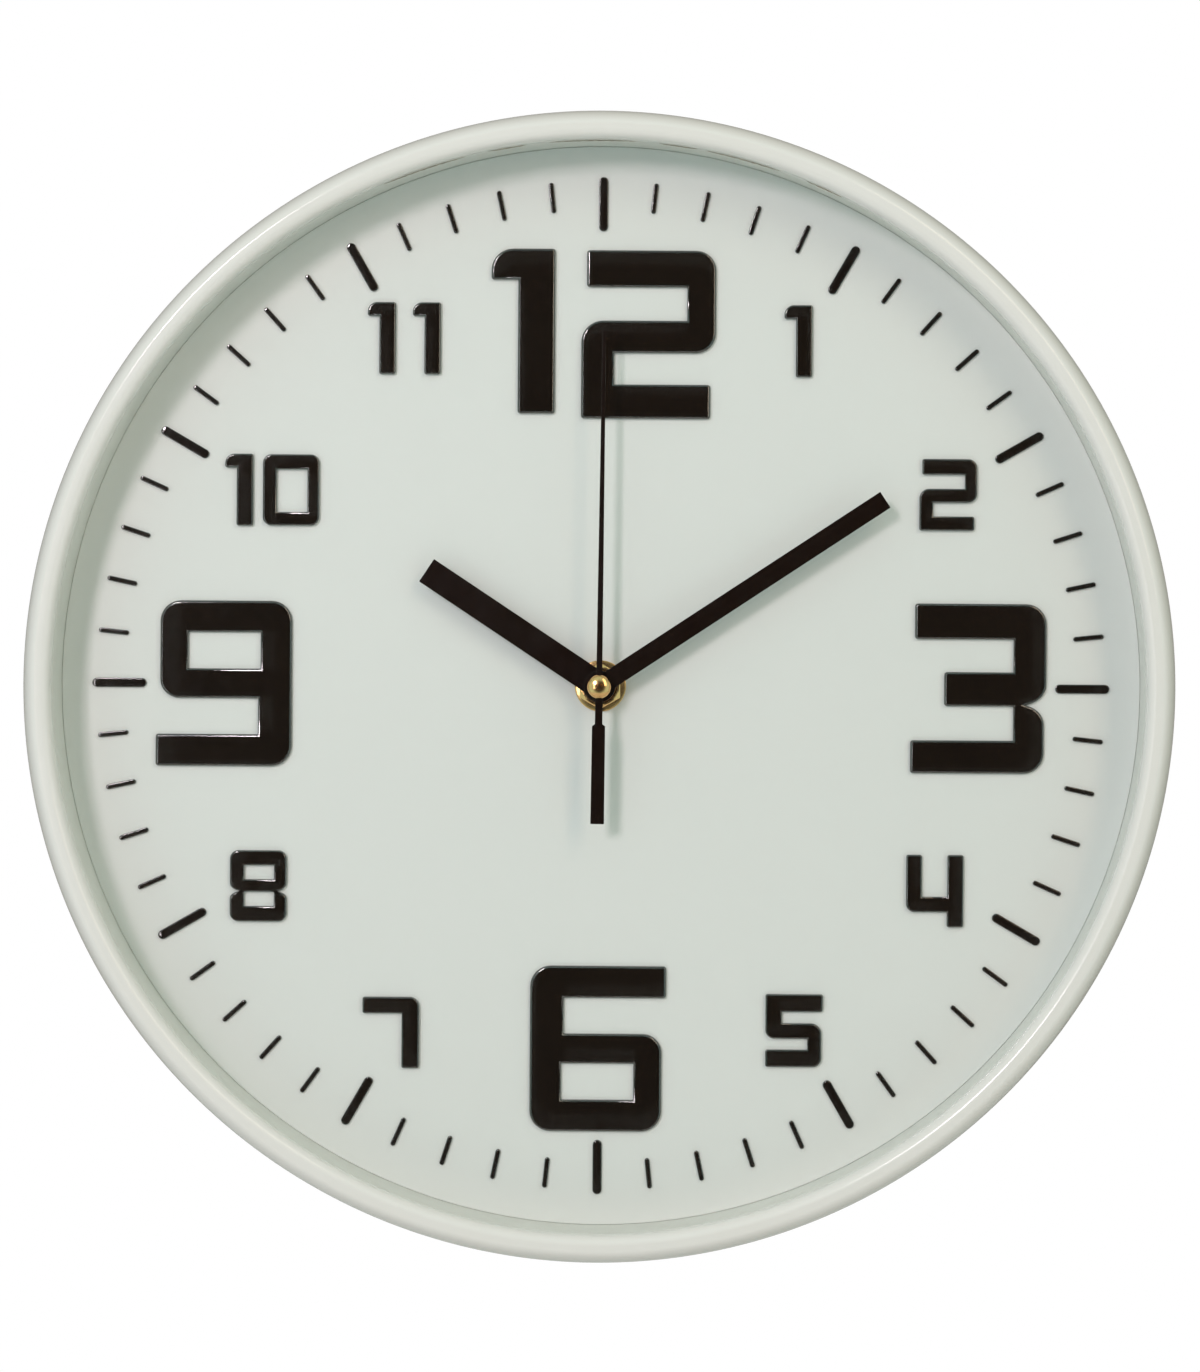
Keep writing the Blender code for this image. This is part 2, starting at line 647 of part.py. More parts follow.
# ---- Movement case ---------------------------------------------------------------------
def build_movement_case():
    half = CASE_SIZE / 2
    hollow = half - CASE_WALL
    outer = rectangle(-half, half, -half, half, 2.0)
    inner = rectangle(-hollow, hollow, -hollow, hollow)

    back, front = FRONT_CASE
    shell = cut(
        prism(outer, FRONT_CASE),
        prism(inner, (back - 1, front - CASE_WALL)),
        prism(circle(BUSHING_RADIUS + 0.3), (back, front + 1)),
    )
    add("movement_front_case", shell, BLACK_PLASTIC)

    back, front = REAR_CASE
    long, low, high, floor = BAY
    trough = rectangle(-long - BAY_WALL, long + BAY_WALL, low - BAY_WALL, high + BAY_WALL)
    bearings = [HANDS_AXIS, THIRD_AXIS, INTERMEDIATE_AXIS, ROTOR_AXIS]
    shell = cut(prism(outer, REAR_CASE), prism(inner, (back + CASE_WALL, front + 1)))
    shell = union(
        shell,
        prism(trough, (back + 0.4, floor + BAY_WALL)),
        prisms([circle(1.5, 12, axis) for axis in bearings], (back + 0.6, 4.3)),
    )
    shell = cut(
        shell,
        prism(rectangle(-long, long, low, high), (back - 1, floor)),
        prisms([circle(0.7, 10, axis) for axis in bearings], (ARBOR_REAR - 0.2, 5.0)),
        prism(circle(1.4, 16, MOTION_AXIS), (back - 1, front)),
    )
    add("movement_rear_case", shell, BLACK_PLASTIC)

    holes = [
        circle(1.5, 16, HANDS_AXIS), circle(1.5, 16, THIRD_AXIS), circle(1.4, 16, MOTION_AXIS),
        circle(0.75, 10, INTERMEDIATE_AXIS), circle(0.75, 10, ROTOR_AXIS),
    ]
    plate = prism(rectangle(-13.0, 17.0, -9.5, 15.0, 2.0), MIDDLE_PLATE, holes)
    pillars = [(15.0, -7.5), (15.0, 13.0), (-11.0, 13.0), (-11.0, -7.5)]
    columns = [circle(1.4, 12, place) for place in pillars]
    plate_top = (MIDDLE_PLATE[0] + 0.3, FRONT_CASE[1] - CASE_WALL - PLAY)
    add("middle_plate", union(plate, prisms(columns, plate_top)), NYLON)


# ---- Wheels: each is a solid around its own arbor ---------------------------------------
def tube_wheel(wheel, pinion_mesh, tube_radii, tube_depths):
    """A gear wheel on a tube that turns on the arbor or tube inside it."""
    outer, bore = tube_radii
    back, front = tube_depths
    mesh = union(wheel, *pinion_mesh, prism(circle(outer), tube_depths))
    return cut(mesh, prism(circle(bore, 16), (back - 1, front + 1)))


def build_wheels():
    magnet, teeth = ROTOR_LAYERS
    pinion = gear(ROTOR_PINION, ROTOR_MODULE, driving_phase(ROTOR_AXIS, INTERMEDIATE_AXIS))
    mesh = wheel_on_arbor(circle(MAGNET_RADIUS, 24), magnet, pinion, teeth, ARBOR_FRONT)
    add("rotor", mesh, MAGNET, ROTOR_AXIS)

    phase = driven_phase(INTERMEDIATE_AXIS, ROTOR_AXIS, INTERMEDIATE_WHEEL)
    wheel = gear(INTERMEDIATE_WHEEL, ROTOR_MODULE, phase)
    phase = driving_phase(INTERMEDIATE_AXIS, HANDS_AXIS)
    pinion = gear(INTERMEDIATE_PINION, INTERMEDIATE_MODULE, phase)
    rim, teeth = INTERMEDIATE_LAYERS
    mesh = wheel_on_arbor(wheel, rim, pinion, teeth, ARBOR_FRONT)
    add("intermediate_wheel", mesh, NYLON, INTERMEDIATE_AXIS)

    phase = driven_phase(HANDS_AXIS, INTERMEDIATE_AXIS, SECONDS_WHEEL)
    wheel = gear(SECONDS_WHEEL, INTERMEDIATE_MODULE, phase)
    pinion = gear(SECONDS_PINION, SECONDS_MODULE, driving_phase(HANDS_AXIS, THIRD_AXIS))
    rim, teeth = SECONDS_LAYERS
    mesh = wheel_on_arbor(wheel, rim, pinion, teeth, SECOND_HAND[1] + 0.7)
    add("seconds_wheel", mesh, NYLON)

    wheel = gear(THIRD_WHEEL, SECONDS_MODULE, driven_phase(THIRD_AXIS, HANDS_AXIS, THIRD_WHEEL))
    pinion = gear(THIRD_PINION, THIRD_MODULE, driving_phase(THIRD_AXIS, HANDS_AXIS))
    rim, teeth = THIRD_LAYERS
    mesh = wheel_on_arbor(wheel, rim, pinion, teeth, teeth[1] + 0.5)
    add("third_wheel", mesh, NYLON, THIRD_AXIS)

    phase = driven_phase(HANDS_AXIS, THIRD_AXIS, CENTRE_WHEEL)
    wheel = gear(CENTRE_WHEEL, THIRD_MODULE, phase)
    pinion = gear(CANNON_PINION, CANNON_MODULE, driving_phase(HANDS_AXIS, MOTION_AXIS))
    rim, teeth = CENTRE_LAYERS
    tube = (rim[0] - PLAY, MINUTE_HAND[0][1] + PLAY)
    mesh = tube_wheel(prism(wheel, rim), [prism(pinion, teeth)], MINUTE_TUBE, tube)
    add("centre_wheel", mesh, NYLON)

    phase = driven_phase(MOTION_AXIS, HANDS_AXIS, MOTION_WHEEL)
    wheel = gear(MOTION_WHEEL, CANNON_MODULE, phase)
    pinion = gear(MOTION_PINION, MOTION_MODULE, driving_phase(MOTION_AXIS, HANDS_AXIS))
    rim, teeth = MOTION_LAYERS
    add("motion_wheel", union(prism(wheel, rim), prism(pinion, teeth)), NYLON, MOTION_AXIS)

    wheel = gear(HOUR_WHEEL, MOTION_MODULE, driven_phase(HANDS_AXIS, MOTION_AXIS, HOUR_WHEEL))
    tube = (HOUR_LAYER[0] - 0.1, HOUR_HAND[0][1] + PLAY)
    mesh = tube_wheel(prism(wheel, HOUR_LAYER), [], HOUR_TUBE, tube)
    add("hour_wheel", mesh, NYLON)


def build_set_knob():
    """The knurled knob on the back; its shaft ends below the motion wheel."""
    grip = [at_clock_angle(SET_KNOB_RADII[i % 2], 10 * i) for i in range(36)]
    shaft = (SET_KNOB[1] - PLAY, MOTION_LAYERS[0][0] - PLAY)
    mesh = union(prism(grip, SET_KNOB), prism(circle(1.0, 16), shaft))
    add("set_knob", mesh, BLACK_PLASTIC, MOTION_AXIS)


# ---- Electrics -------------------------------------------------------------------------
def build_electrics():
    add("circuit_board", prism(rectangle(-26.0, -12.5, 8.0, 26.0, 1.0), (5.4, 6.2)), BOARD_GREEN)
    profile = [(0, 6.5), (3.4, 6.5), (3.1, 7.0), (2.0, 7.5), (0, 7.7)]
    add("ic_chip", turned(profile, 16), BLACK_GLOSS, (-18.0, 21.0))
    can = along_x(prism(circle(1.0, 12), (-3.0, 3.0)))
    can.transform(Matrix.Rotation(math.pi / 2, 4, "Y"))
    can.transform(Matrix.Translation((0.0, -7.6 * MM, 0.0)))
    add("quartz_crystal", can, STEEL, (-23.5, 13.0))

    core = (7.0, 7.5)
    middle = sum(core) / 2
    stator = prism(
        rectangle(-9.5, 16.0, 7.7, 22.8, 1.0), core,
        [rectangle(-6.5, 13.0, 14.6, 20.2), circle(2.6, 24, ROTOR_AXIS)],
    )
    add("stator", stator, STEEL)

    def coil_part(outline, span):
        """A prism along X around the stator's upper bar."""
        mesh = along_x(prism(outline, span))
        mesh.transform(Matrix.Translation((0.0, -middle * MM, 21.5 * MM)))
        return mesh

    flange = rectangle(-3.35, 3.35, -3.4, 3.4, 0.8)
    barrel = rectangle(-1.15, 1.15, -2.2, 2.2)
    window = rectangle(-0.6, 0.6, -1.6, 1.6)
    bobbin = union(
        coil_part(barrel, (-5.5, 9.5)), coil_part(flange, (-6.0, -5.0)), coil_part(flange, (9.0, 10.0))
    )
    bobbin = cut(bobbin, coil_part(window, (-7.0, 11.0)))
    add("coil_bobbin", bobbin, NYLON)
    winding = along_x(
        prism(circle(3.2, 20), (-4.7, 8.7), [rectangle(-1.45, 1.45, -2.5, 2.5)])
    )
    winding.transform(Matrix.Translation((0.0, -middle * MM, 21.5 * MM)))
    add("coil_winding", winding, COPPER)


def build_battery():
    height, depth = BATTERY_CENTRE
    radius = BATTERY_RADIUS
    profile = [
        (0, -24.9), (radius - 0.6, -24.9), (radius, -24.3), (radius, 23.4), (radius - 0.6, 24.0),
        (2.7, 24.0), (2.7, 25.1), (0, 25.1),
    ]
    mesh = along_x(turned(profile, 28))
    mesh.transform(Matrix.Translation((0.0, -depth * MM, 0.0)))
    add("battery", mesh, BATTERY_WRAP, (0.0, height))

    strip = [
        (-depth - 4.5, -5.0), (-depth - 4.5, 4.5), (-depth - 1.5, 4.5), (-depth - 1.5, 6.6),
        (-depth + 1.5, 6.6), (-depth + 1.5, 4.5), (-depth + 4.5, 4.5), (-depth + 4.5, -5.0),
    ]
    for name, side in (("battery_contact_positive", 1), ("battery_contact_negative", -1)):
        span = sorted((25.4 * side, 25.7 * side))
        add(name, along_x(prism(strip, span)), STEEL, (0.0, height))


clear_scene()
CLOCK_AXIS = bpy.data.objects.new("clock_axis", None)
CLOCK_AXIS.location = (0.0, 0.0, -HANGER_DROP * MM)
bpy.context.scene.collection.objects.link(CLOCK_AXIS)

WHITE_GLOSS = material("rim_white", (0.72, 0.73, 0.68), 0.18)
WHITE_MATTE = material("pan_white", (0.70, 0.71, 0.67), 0.45)
DIAL_WHITE = material("dial_white", (0.68, 0.72, 0.68), 0.6)
GLASS_CLEAR = material("clear_glass", (1.0, 1.0, 1.0), 0.02, transmission=1.0)
BLACK_GLOSS = material("numeral_black", (0.012, 0.008, 0.006), 0.2)
BLACK_HAND = material("hand_black", (0.015, 0.010, 0.008), 0.35)
BLACK_PLASTIC = material("movement_black", (0.02, 0.02, 0.02), 0.5)
BRASS = material("brass", (0.78, 0.58, 0.22), 0.2, metallic=1.0)
STEEL = material("zinc_steel", (0.55, 0.56, 0.57), 0.35, metallic=1.0)
COPPER = material("copper_wire", (0.60, 0.22, 0.10), 0.4, metallic=1.0)
MAGNET = material("magnet_grey", (0.10, 0.10, 0.11), 0.5)
NYLON = material("nylon_white", (0.75, 0.74, 0.70), 0.5)
RUBBER = material("washer_rubber", (0.02, 0.02, 0.02), 0.8)
BOARD_GREEN = material("board_green", (0.02, 0.13, 0.05), 0.5)
BATTERY_WRAP = material("battery_wrap", (0.05, 0.16, 0.30), 0.3)

build_case()
build_back_pan()
build_dial()
build_numerals()
build_case_screws()
build_hanger()
build_hands()
build_bushing_stack()
build_movement_case()
build_wheels()
build_set_knob()
build_electrics()
build_battery()
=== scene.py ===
import json
import math

import bmesh
import bpy
from mathutils import Matrix, Vector


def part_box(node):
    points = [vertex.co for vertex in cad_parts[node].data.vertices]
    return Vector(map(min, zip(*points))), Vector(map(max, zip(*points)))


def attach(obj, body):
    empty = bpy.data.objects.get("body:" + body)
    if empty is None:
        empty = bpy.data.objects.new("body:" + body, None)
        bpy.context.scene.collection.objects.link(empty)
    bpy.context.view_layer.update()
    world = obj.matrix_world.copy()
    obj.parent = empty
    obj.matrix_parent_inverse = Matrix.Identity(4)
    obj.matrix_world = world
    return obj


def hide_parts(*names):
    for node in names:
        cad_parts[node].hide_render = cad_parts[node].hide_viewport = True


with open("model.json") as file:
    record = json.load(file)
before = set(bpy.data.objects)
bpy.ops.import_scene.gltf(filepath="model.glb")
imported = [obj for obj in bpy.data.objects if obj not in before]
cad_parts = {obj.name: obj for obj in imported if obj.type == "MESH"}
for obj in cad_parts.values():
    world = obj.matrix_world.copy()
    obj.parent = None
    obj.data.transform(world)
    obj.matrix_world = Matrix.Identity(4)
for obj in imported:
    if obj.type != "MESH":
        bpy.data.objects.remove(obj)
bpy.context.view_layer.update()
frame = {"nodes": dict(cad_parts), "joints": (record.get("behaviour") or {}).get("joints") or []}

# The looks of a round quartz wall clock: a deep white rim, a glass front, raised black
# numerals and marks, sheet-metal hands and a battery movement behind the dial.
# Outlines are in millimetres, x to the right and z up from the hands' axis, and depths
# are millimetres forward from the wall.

MM = 0.001
JOINT_PLACES = {joint["name"]: joint.get("pos_m") for joint in frame["joints"]}
AXIS_X, _, AXIS_Z = JOINT_PLACES["second_turn"]


# ---- What the frame says --------------------------------------------------------------
def depths(node):
    """How far a CAD node's back and front stand from the wall."""
    low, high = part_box(node)
    return -high.y / MM, -low.y / MM


def half_width(node):
    low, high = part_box(node)
    return (high.x - low.x) / 2 / MM


def middle(node):
    low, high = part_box(node)
    return ((low.x + high.x) / 2 - AXIS_X) / MM, ((low.z + high.z) / 2 - AXIS_Z) / MM


def axis_of(joint):
    x, _, z = JOINT_PLACES[joint]
    return (x - AXIS_X) / MM, (z - AXIS_Z) / MM


RIM_BACK, RIM_FRONT = depths("case_rim")
RIM_RADIUS = half_width("case_rim")
GLASS_BACK, GLASS_FRONT = depths("glass_lens")
DIAL_BACK, MARK_FRONT = depths("dial")
MARK_HEIGHT = 0.7
DIAL_FRONT = MARK_FRONT - MARK_HEIGHT
DIAL_PLAY = 0.24  # how much closer the dial fits in the pan than the CAD's does
DIAL_RADIUS = half_width("dial") + DIAL_PLAY
GLUE_GAP = 0.02  # under what is glued to the dial or the glass

CREST_RADIUS = 144.2  # the flat top of the rim reaches from here
SHOULDER_RADIUS = 145.3  # to here
WIDEST_DEPTH = 33.5  # where the rim is as wide as RIM_RADIUS
LIP_RADIUS = 141.8
LIP_DEPTH = 39.4
LIP_CLEARANCE = 0.3  # between the glass and the lip in front of it
RIM_INNER_RADIUS = 146.9
PAN_WALL = (143.0, 144.4)  # inner and outer radius
PAN_FLOOR = (18.9, 20.4)  # depths of its back and front
FLANGE = (1.9, 3.9)  # depths of its back and front
FLANGE_RADIUS = 148.8
FOOT_RADIUS = 141.2  # inner radius of the ring that lies on the wall
PANEL_HOLE = 4.3  # radius of the hole for the hands' shaft in the pan and the dial
RIB_COUNT = 8

HOUR_BAR = (127.6, 14.4, 2.45)  # radius of the middle, length, width
MINUTE_BAR = (129.85, 8.1, 1.33)

# Length, width, clock angle and hole radius of the two bar-shaped hands.
BAR_HANDS = {"hour": (54.9, 7.1, 303.4, 2.7), "minute": (89.5, 4.95, 56.45, 1.7)}
SECOND_HAND_ANGLE = 0.45
HUB_RADIUS = 4.1

BAY = (26.0, -26.0, -11.2, 15.6)  # the battery's: half length, bottom, top, depth of its floor
BAY_WALL = 0.7
REAR_CASE_FRONT = 7.7

# Glyph outlines: corners (x, z, rounding radius), measured from each glyph's lower left.
BIG_ONE = [
    (17.0, 43.7, 0.8), (17.0, 0, 0.8), (7.1, 0, 0.8), (7.1, 35.4, 0),
    (0, 35.4, 0.8), (0, 43.7, 5.8),
]
BIG_TWO = [
    (1.4, 44.6, 0.8), (35.7, 44.6, 5.3), (35.7, 17.4, 5.3), (8.8, 17.4, 0),
    (8.8, 9.1, 0), (34.3, 9.1, 0.8), (34.3, 0, 0.8), (0, 0, 0.8),
    (0, 26.0, 5.8), (28.0, 26.0, 0), (28.0, 34.8, 0), (1.4, 34.8, 0.8),
]
BIG_THREE = [
    (1.1, 45.0, 0.8), (36.0, 45.0, 5.5), (36.0, 20.0, 5.2), (30.5, 18.2, 0),
    (35.4, 16.6, 5.2), (35.4, 0, 5.5), (0, 0, 0.8), (0, 8.8, 0.8),
    (27.2, 8.8, 0), (27.2, 17.8, 0), (8.9, 17.8, 0.9), (8.9, 26.9, 0.9),
    (27.2, 26.9, 0), (27.2, 35.5, 0), (1.1, 35.5, 0.8),
]
BIG_SIX = [
    (0, 43.9, 5.5), (36.1, 43.9, 0.8), (36.1, 35.4, 0.8), (9.0, 35.4, 0),
    (9.0, 25.9, 0), (35.0, 25.9, 5.0), (35.0, 0, 5.5), (0, 0, 5.5),
]
BIG_SIX_EYE = [(8.4, 8.4, 0), (8.4, 18.0, 0), (27.5, 18.0, 0), (27.5, 8.4, 0)]
ONE = [
    (7.5, 19.1, 0.6), (7.5, 0, 0.6), (3.1, 0, 0.6), (3.1, 15.4, 0),
    (0, 15.4, 0.6), (0, 19.1, 2.6),
]
TWO = [
    (0.7, 19.0, 0.6), (15.3, 19.0, 2.4), (15.3, 7.4, 2.4), (3.7, 7.4, 0),
    (3.7, 3.8, 0), (14.6, 3.8, 0.6), (14.6, 0, 0.6), (0, 0, 0.6),
    (0, 11.1, 2.6), (12.0, 11.1, 0), (12.0, 14.8, 0), (0.7, 14.8, 0.6),
]
FOUR = [
    (0, 19.2, 0.6), (4.2, 19.2, 0.6), (4.2, 8.1, 0), (10.9, 8.1, 0),
    (10.9, 19.2, 0.6), (15.2, 19.2, 0.6), (15.2, 0, 0.6), (10.8, 0, 0.6),
    (10.8, 4.0, 0), (0, 4.0, 2.2),
]
FIVE = [
    (0, 19.3, 0.6), (15.3, 19.3, 0.6), (15.2, 14.6, 0.6), (4.4, 14.6, 0),
    (4.4, 11.6, 0), (14.9, 11.6, 2.8), (14.9, 0, 2.3), (0, 0, 0.6),
    (0, 4.6, 0.6), (11.1, 4.6, 0), (11.1, 7.5, 0), (0, 7.5, 2.3),
]
SEVEN = [
    (0, 18.9, 0.6), (15.1, 18.9, 2.6), (15.1, 0, 0.6), (10.4, 0, 0.6),
    (10.4, 14.5, 0), (0, 14.5, 0.6),
]
EIGHT = [
    (0, 18.9, 2.3), (15.1, 18.9, 2.3), (15.1, 8.9, 2.0), (12.5, 8.1, 0),
    (15.1, 7.2, 1.8), (15.1, 0, 2.3), (0, 0, 2.3), (0, 7.2, 1.8),
    (2.6, 8.1, 0), (0, 8.9, 2.0),
]
EIGHT_UPPER_EYE = [(3.8, 11.2, 0), (3.8, 14.9, 0), (11.7, 14.9, 0), (11.7, 11.2, 0)]
EIGHT_LOWER_EYE = [(3.8, 4.1, 0), (3.8, 7.9, 0), (11.7, 7.9, 0), (11.7, 4.1, 0)]
ZERO = [(0, 18.9, 2.3), (15.0, 18.9, 2.3), (15.0, 0, 2.3), (0, 0, 2.3)]
ZERO_EYE = [(3.7, 3.6, 0), (3.7, 14.9, 0), (11.8, 14.9, 0), (11.8, 3.6, 0)]

# CAD node, piece, outline, eyes, half turns.
NUMERALS = [
    ("numeral_12_one", "figure_12_one", BIG_ONE, [], 0),
    ("numeral_12_two", "figure_12_two", BIG_TWO, [], 0),
    ("numeral_1", "figure_1", ONE, [], 0),
    ("numeral_2", "figure_2", TWO, [], 0),
    ("numeral_3", "figure_3", BIG_THREE, [], 0),
    ("numeral_4", "figure_4", FOUR, [], 0),
    ("numeral_5", "figure_5", FIVE, [], 0),
    ("numeral_6", "figure_6", BIG_SIX, [BIG_SIX_EYE], 0),
    ("numeral_7", "figure_7", SEVEN, [], 0),
    ("numeral_8", "figure_8", EIGHT, [EIGHT_UPPER_EYE, EIGHT_LOWER_EYE], 0),
    ("numeral_9", "figure_9", BIG_SIX, [BIG_SIX_EYE], 1),
    ("numeral_10_one", "figure_10_one", ONE, [], 0),
    ("numeral_10_zero", "figure_10_zero", ZERO, [ZERO_EYE], 0),
    ("numeral_11_left", "figure_11_left", ONE, [], 0),
    ("numeral_11_right", "figure_11_right", ONE, [], 0),
]


# ---- Outlines -------------------------------------------------------------------------
def clock_point(radius, degrees, centre=(0.0, 0.0)):
    """The point at a distance and a clockwise angle from twelve."""
    angle = math.radians(degrees)
    return (centre[0] + radius * math.sin(angle), centre[1] + radius * math.cos(angle))


def circle(radius, segments=96, centre=(0.0, 0.0)):
    return [clock_point(radius, 360 * i / segments, centre) for i in range(segments)]


def rounded(corners, step=11.25):
    """An outline whose corners are arcs, with a point about every few degrees."""
    outline = []
    for i, (x, z, radius) in enumerate(corners):
        before = corners[i - 1]
        after = corners[(i + 1) % len(corners)]
        if radius == 0:
            outline.append((x, z))
            continue
        to_before = math.atan2(before[1] - z, before[0] - x)
        to_after = math.atan2(after[1] - z, after[0] - x)
        opening = (to_after - to_before + math.pi) % (2 * math.pi) - math.pi
        bisector = to_before + opening / 2
        reach = radius / math.sin(abs(opening) / 2)
        cx = x + reach * math.cos(bisector)
        cz = z + reach * math.sin(bisector)
        sweep = math.copysign(math.pi - abs(opening), opening)
        count = max(2, round(abs(math.degrees(sweep)) / step))
        for k in range(count + 1):
            angle = bisector + math.pi + sweep * (0.5 - k / count)
            outline.append((cx + radius * math.cos(angle), cz + radius * math.sin(angle)))
    return outline


def rectangle(left, right, bottom, top, radius=0.0):
    return rounded(
        [(left, top, radius), (right, top, radius), (right, bottom, radius), (left, bottom, radius)]
    )


def stadium(length, width, segments=12):
    """An upright bar with half-round ends, centred on the origin."""
    radius = width / 2
    top = [
        clock_point(radius, -90 + 180 * i / segments, (0.0, length / 2 - radius))
        for i in range(segments + 1)
    ]
    return top + [(-x, -z) for x, z in top]


def moved(outline, degrees=0.0, centre=(0.0, 0.0)):
    """The outline turned clockwise about its own origin and then moved."""
    c = math.cos(math.radians(degrees))
    s = math.sin(math.radians(degrees))
    return [(centre[0] + x * c + z * s, centre[1] - x * s + z * c) for x, z in outline]


def clockwise(loop):
    area = sum(a[0] * b[1] - b[0] * a[1] for a, b in zip(loop, loop[1:] + loop[:1]))
    return loop if area < 0 else loop[::-1]


def inset(loop, distance):
    """A clockwise loop moved into its own inside by a distance, corners mitred."""
    result = []
    for before, here, after in zip(loop[-1:] + loop[:-1], loop, loop[1:] + loop[:1]):
        first = Vector((here[1] - before[1], before[0] - here[0])).normalized()
        second = Vector((after[1] - here[1], here[0] - after[0])).normalized()
        shift = (first + second) * (distance / max(1 + first.dot(second), 0.2))
        result.append((here[0] + shift.x, here[1] + shift.y))
    return result


def edge_rings(back, front, edge, back_edge, steps):
    """Pairs of inset and depth that carry a plate's outline round its two edges."""
    turns = [math.pi / 2 * i / steps for i in range(steps + 1)]
    rear, fore = [(0.0, back)], [(0.0, front)]
    if back_edge:
        rear = [
            (back_edge * (1 - math.sin(t)), back + back_edge * (1 - math.cos(t))) for t in turns
        ]
    if edge:
        fore = [(edge * (1 - math.cos(t)), front - edge * (1 - math.sin(t))) for t in turns]
    return rear + fore


# ---- Meshes ---------------------------------------------------------------------------
def place(x, z, depth):
    """A point of the clock in the frame's metres."""
    return (AXIS_X + x * MM, -depth * MM, AXIS_Z + z * MM)


def as_mesh(shape):
    bmesh.ops.recalc_face_normals(shape, faces=shape.faces[:])
    mesh = bpy.data.meshes.new("mesh")
    shape.to_mesh(mesh)
    shape.free()
    return mesh


def bridge(shape, rows, closed=False):
    """Faces between rows of points that each run round a closed loop."""
    following_rows = rows[1:] + rows[:1] if closed else rows[1:]
    for row, following in zip(rows, following_rows):
        for i in range(len(row)):
            j = (i + 1) % len(row)
            corners = dict.fromkeys((row[i], row[j], following[j], following[i]))
            if len(corners) > 2:
                shape.faces.new(corners)


def plate(outline, back, front, holes=(), edge=0.2, back_edge=0.0, steps=3):
    """A plate with holes, its edges rounded in front by one radius and behind by another."""
    shape = bmesh.new()
    rings = edge_rings(back, front, edge, back_edge, steps)
    ends = ([], [])
    loops = [(clockwise(outline), 1)] + [(clockwise(hole), -1) for hole in holes]
    for loop, way in loops:
        rows = [
            [shape.verts.new(place(x, z, depth)) for x, z in inset(loop, way * distance)]
            for distance, depth in rings
        ]
        bridge(shape, rows)
        for end, row in zip(ends, (rows[0], rows[-1])):
            end.extend(shape.edges.get(pair) for pair in zip(row, row[1:] + row[:1]))
    for end in ends:
        bmesh.ops.triangle_fill(shape, edges=end, use_beauty=True)
    return as_mesh(shape)


def plates(outlines, back, front, **edges):
    """Several separate plates in one mesh."""
    return joined([plate(outline, back, front, **edges) for outline in outlines])


def joined(meshes):
    shape = bmesh.new()
    for mesh in meshes:
        shape.from_mesh(mesh)
        bpy.data.meshes.remove(mesh)
    return as_mesh(shape)


def turned(profile, segments=288, centre=(0.0, 0.0)):
    """A closed profile of (radius, depth) turned about an axis that points at the viewer."""
    shape = bmesh.new()
    rows = []
    for radius, depth in profile:
        if radius < 1e-6:
            rows.append([shape.verts.new(place(*centre, depth))] * segments)
            continue
        ring = circle(radius, segments, centre)
        rows.append([shape.verts.new(place(x, z, depth)) for x, z in ring])
    bridge(shape, rows, closed=True)
    return as_mesh(shape)


def along_x(mesh, height, depth):
    """A mesh turned about the hands' axis, laid along +X at a height and a depth."""
    mesh.transform(Matrix.Translation((-AXIS_X, 0.0, -AXIS_Z)))
    mesh.transform(Matrix.Rotation(math.pi / 2, 4, "Z"))
    mesh.transform(Matrix.Translation(place(0.0, height, depth)))
    return mesh


def combined(base, tool, operation):
    """The base mesh joined with, cut by or cut down to the tool mesh. Both are used up."""
    target = bpy.data.objects.new("target", base)
    other = bpy.data.objects.new("tool", tool)
    for item in (target, other):
        bpy.context.scene.collection.objects.link(item)
    modifier = target.modifiers.new("combine", "BOOLEAN")
    modifier.operation = operation
    modifier.solver = "EXACT"
    modifier.object = other
    graph = bpy.context.evaluated_depsgraph_get()
    result = bpy.data.meshes.new_from_object(target.evaluated_get(graph))
    for item in (target, other):
        bpy.data.objects.remove(item)
    for mesh in (base, tool):
        bpy.data.meshes.remove(mesh)
    return result


def union(base, *tools):
    for tool in tools:
        base = combined(base, tool, "UNION")
    return base


def cut(base, *tools):
    for tool in tools:
        base = combined(base, tool, "DIFFERENCE")
    return base


SHARP_ANGLE = math.radians(38)


def piece(name, mesh, material, body="case", stands_for=()):
    """Shows a mesh as a piece that rides on a body and stands for CAD nodes."""
    mesh.name = name
    mesh.materials.clear()
    mesh.materials.append(material)
    mesh.shade_smooth()
    mesh.set_sharp_from_angle(angle=SHARP_ANGLE)
    item = bpy.data.objects.new(name, mesh)
    bpy.context.scene.collection.objects.link(item)
    item.modifiers.new("even_shading", "WEIGHTED_NORMAL").keep_sharp = True
    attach(item, body)
    if stands_for:
        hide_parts(*stands_for)
    return item


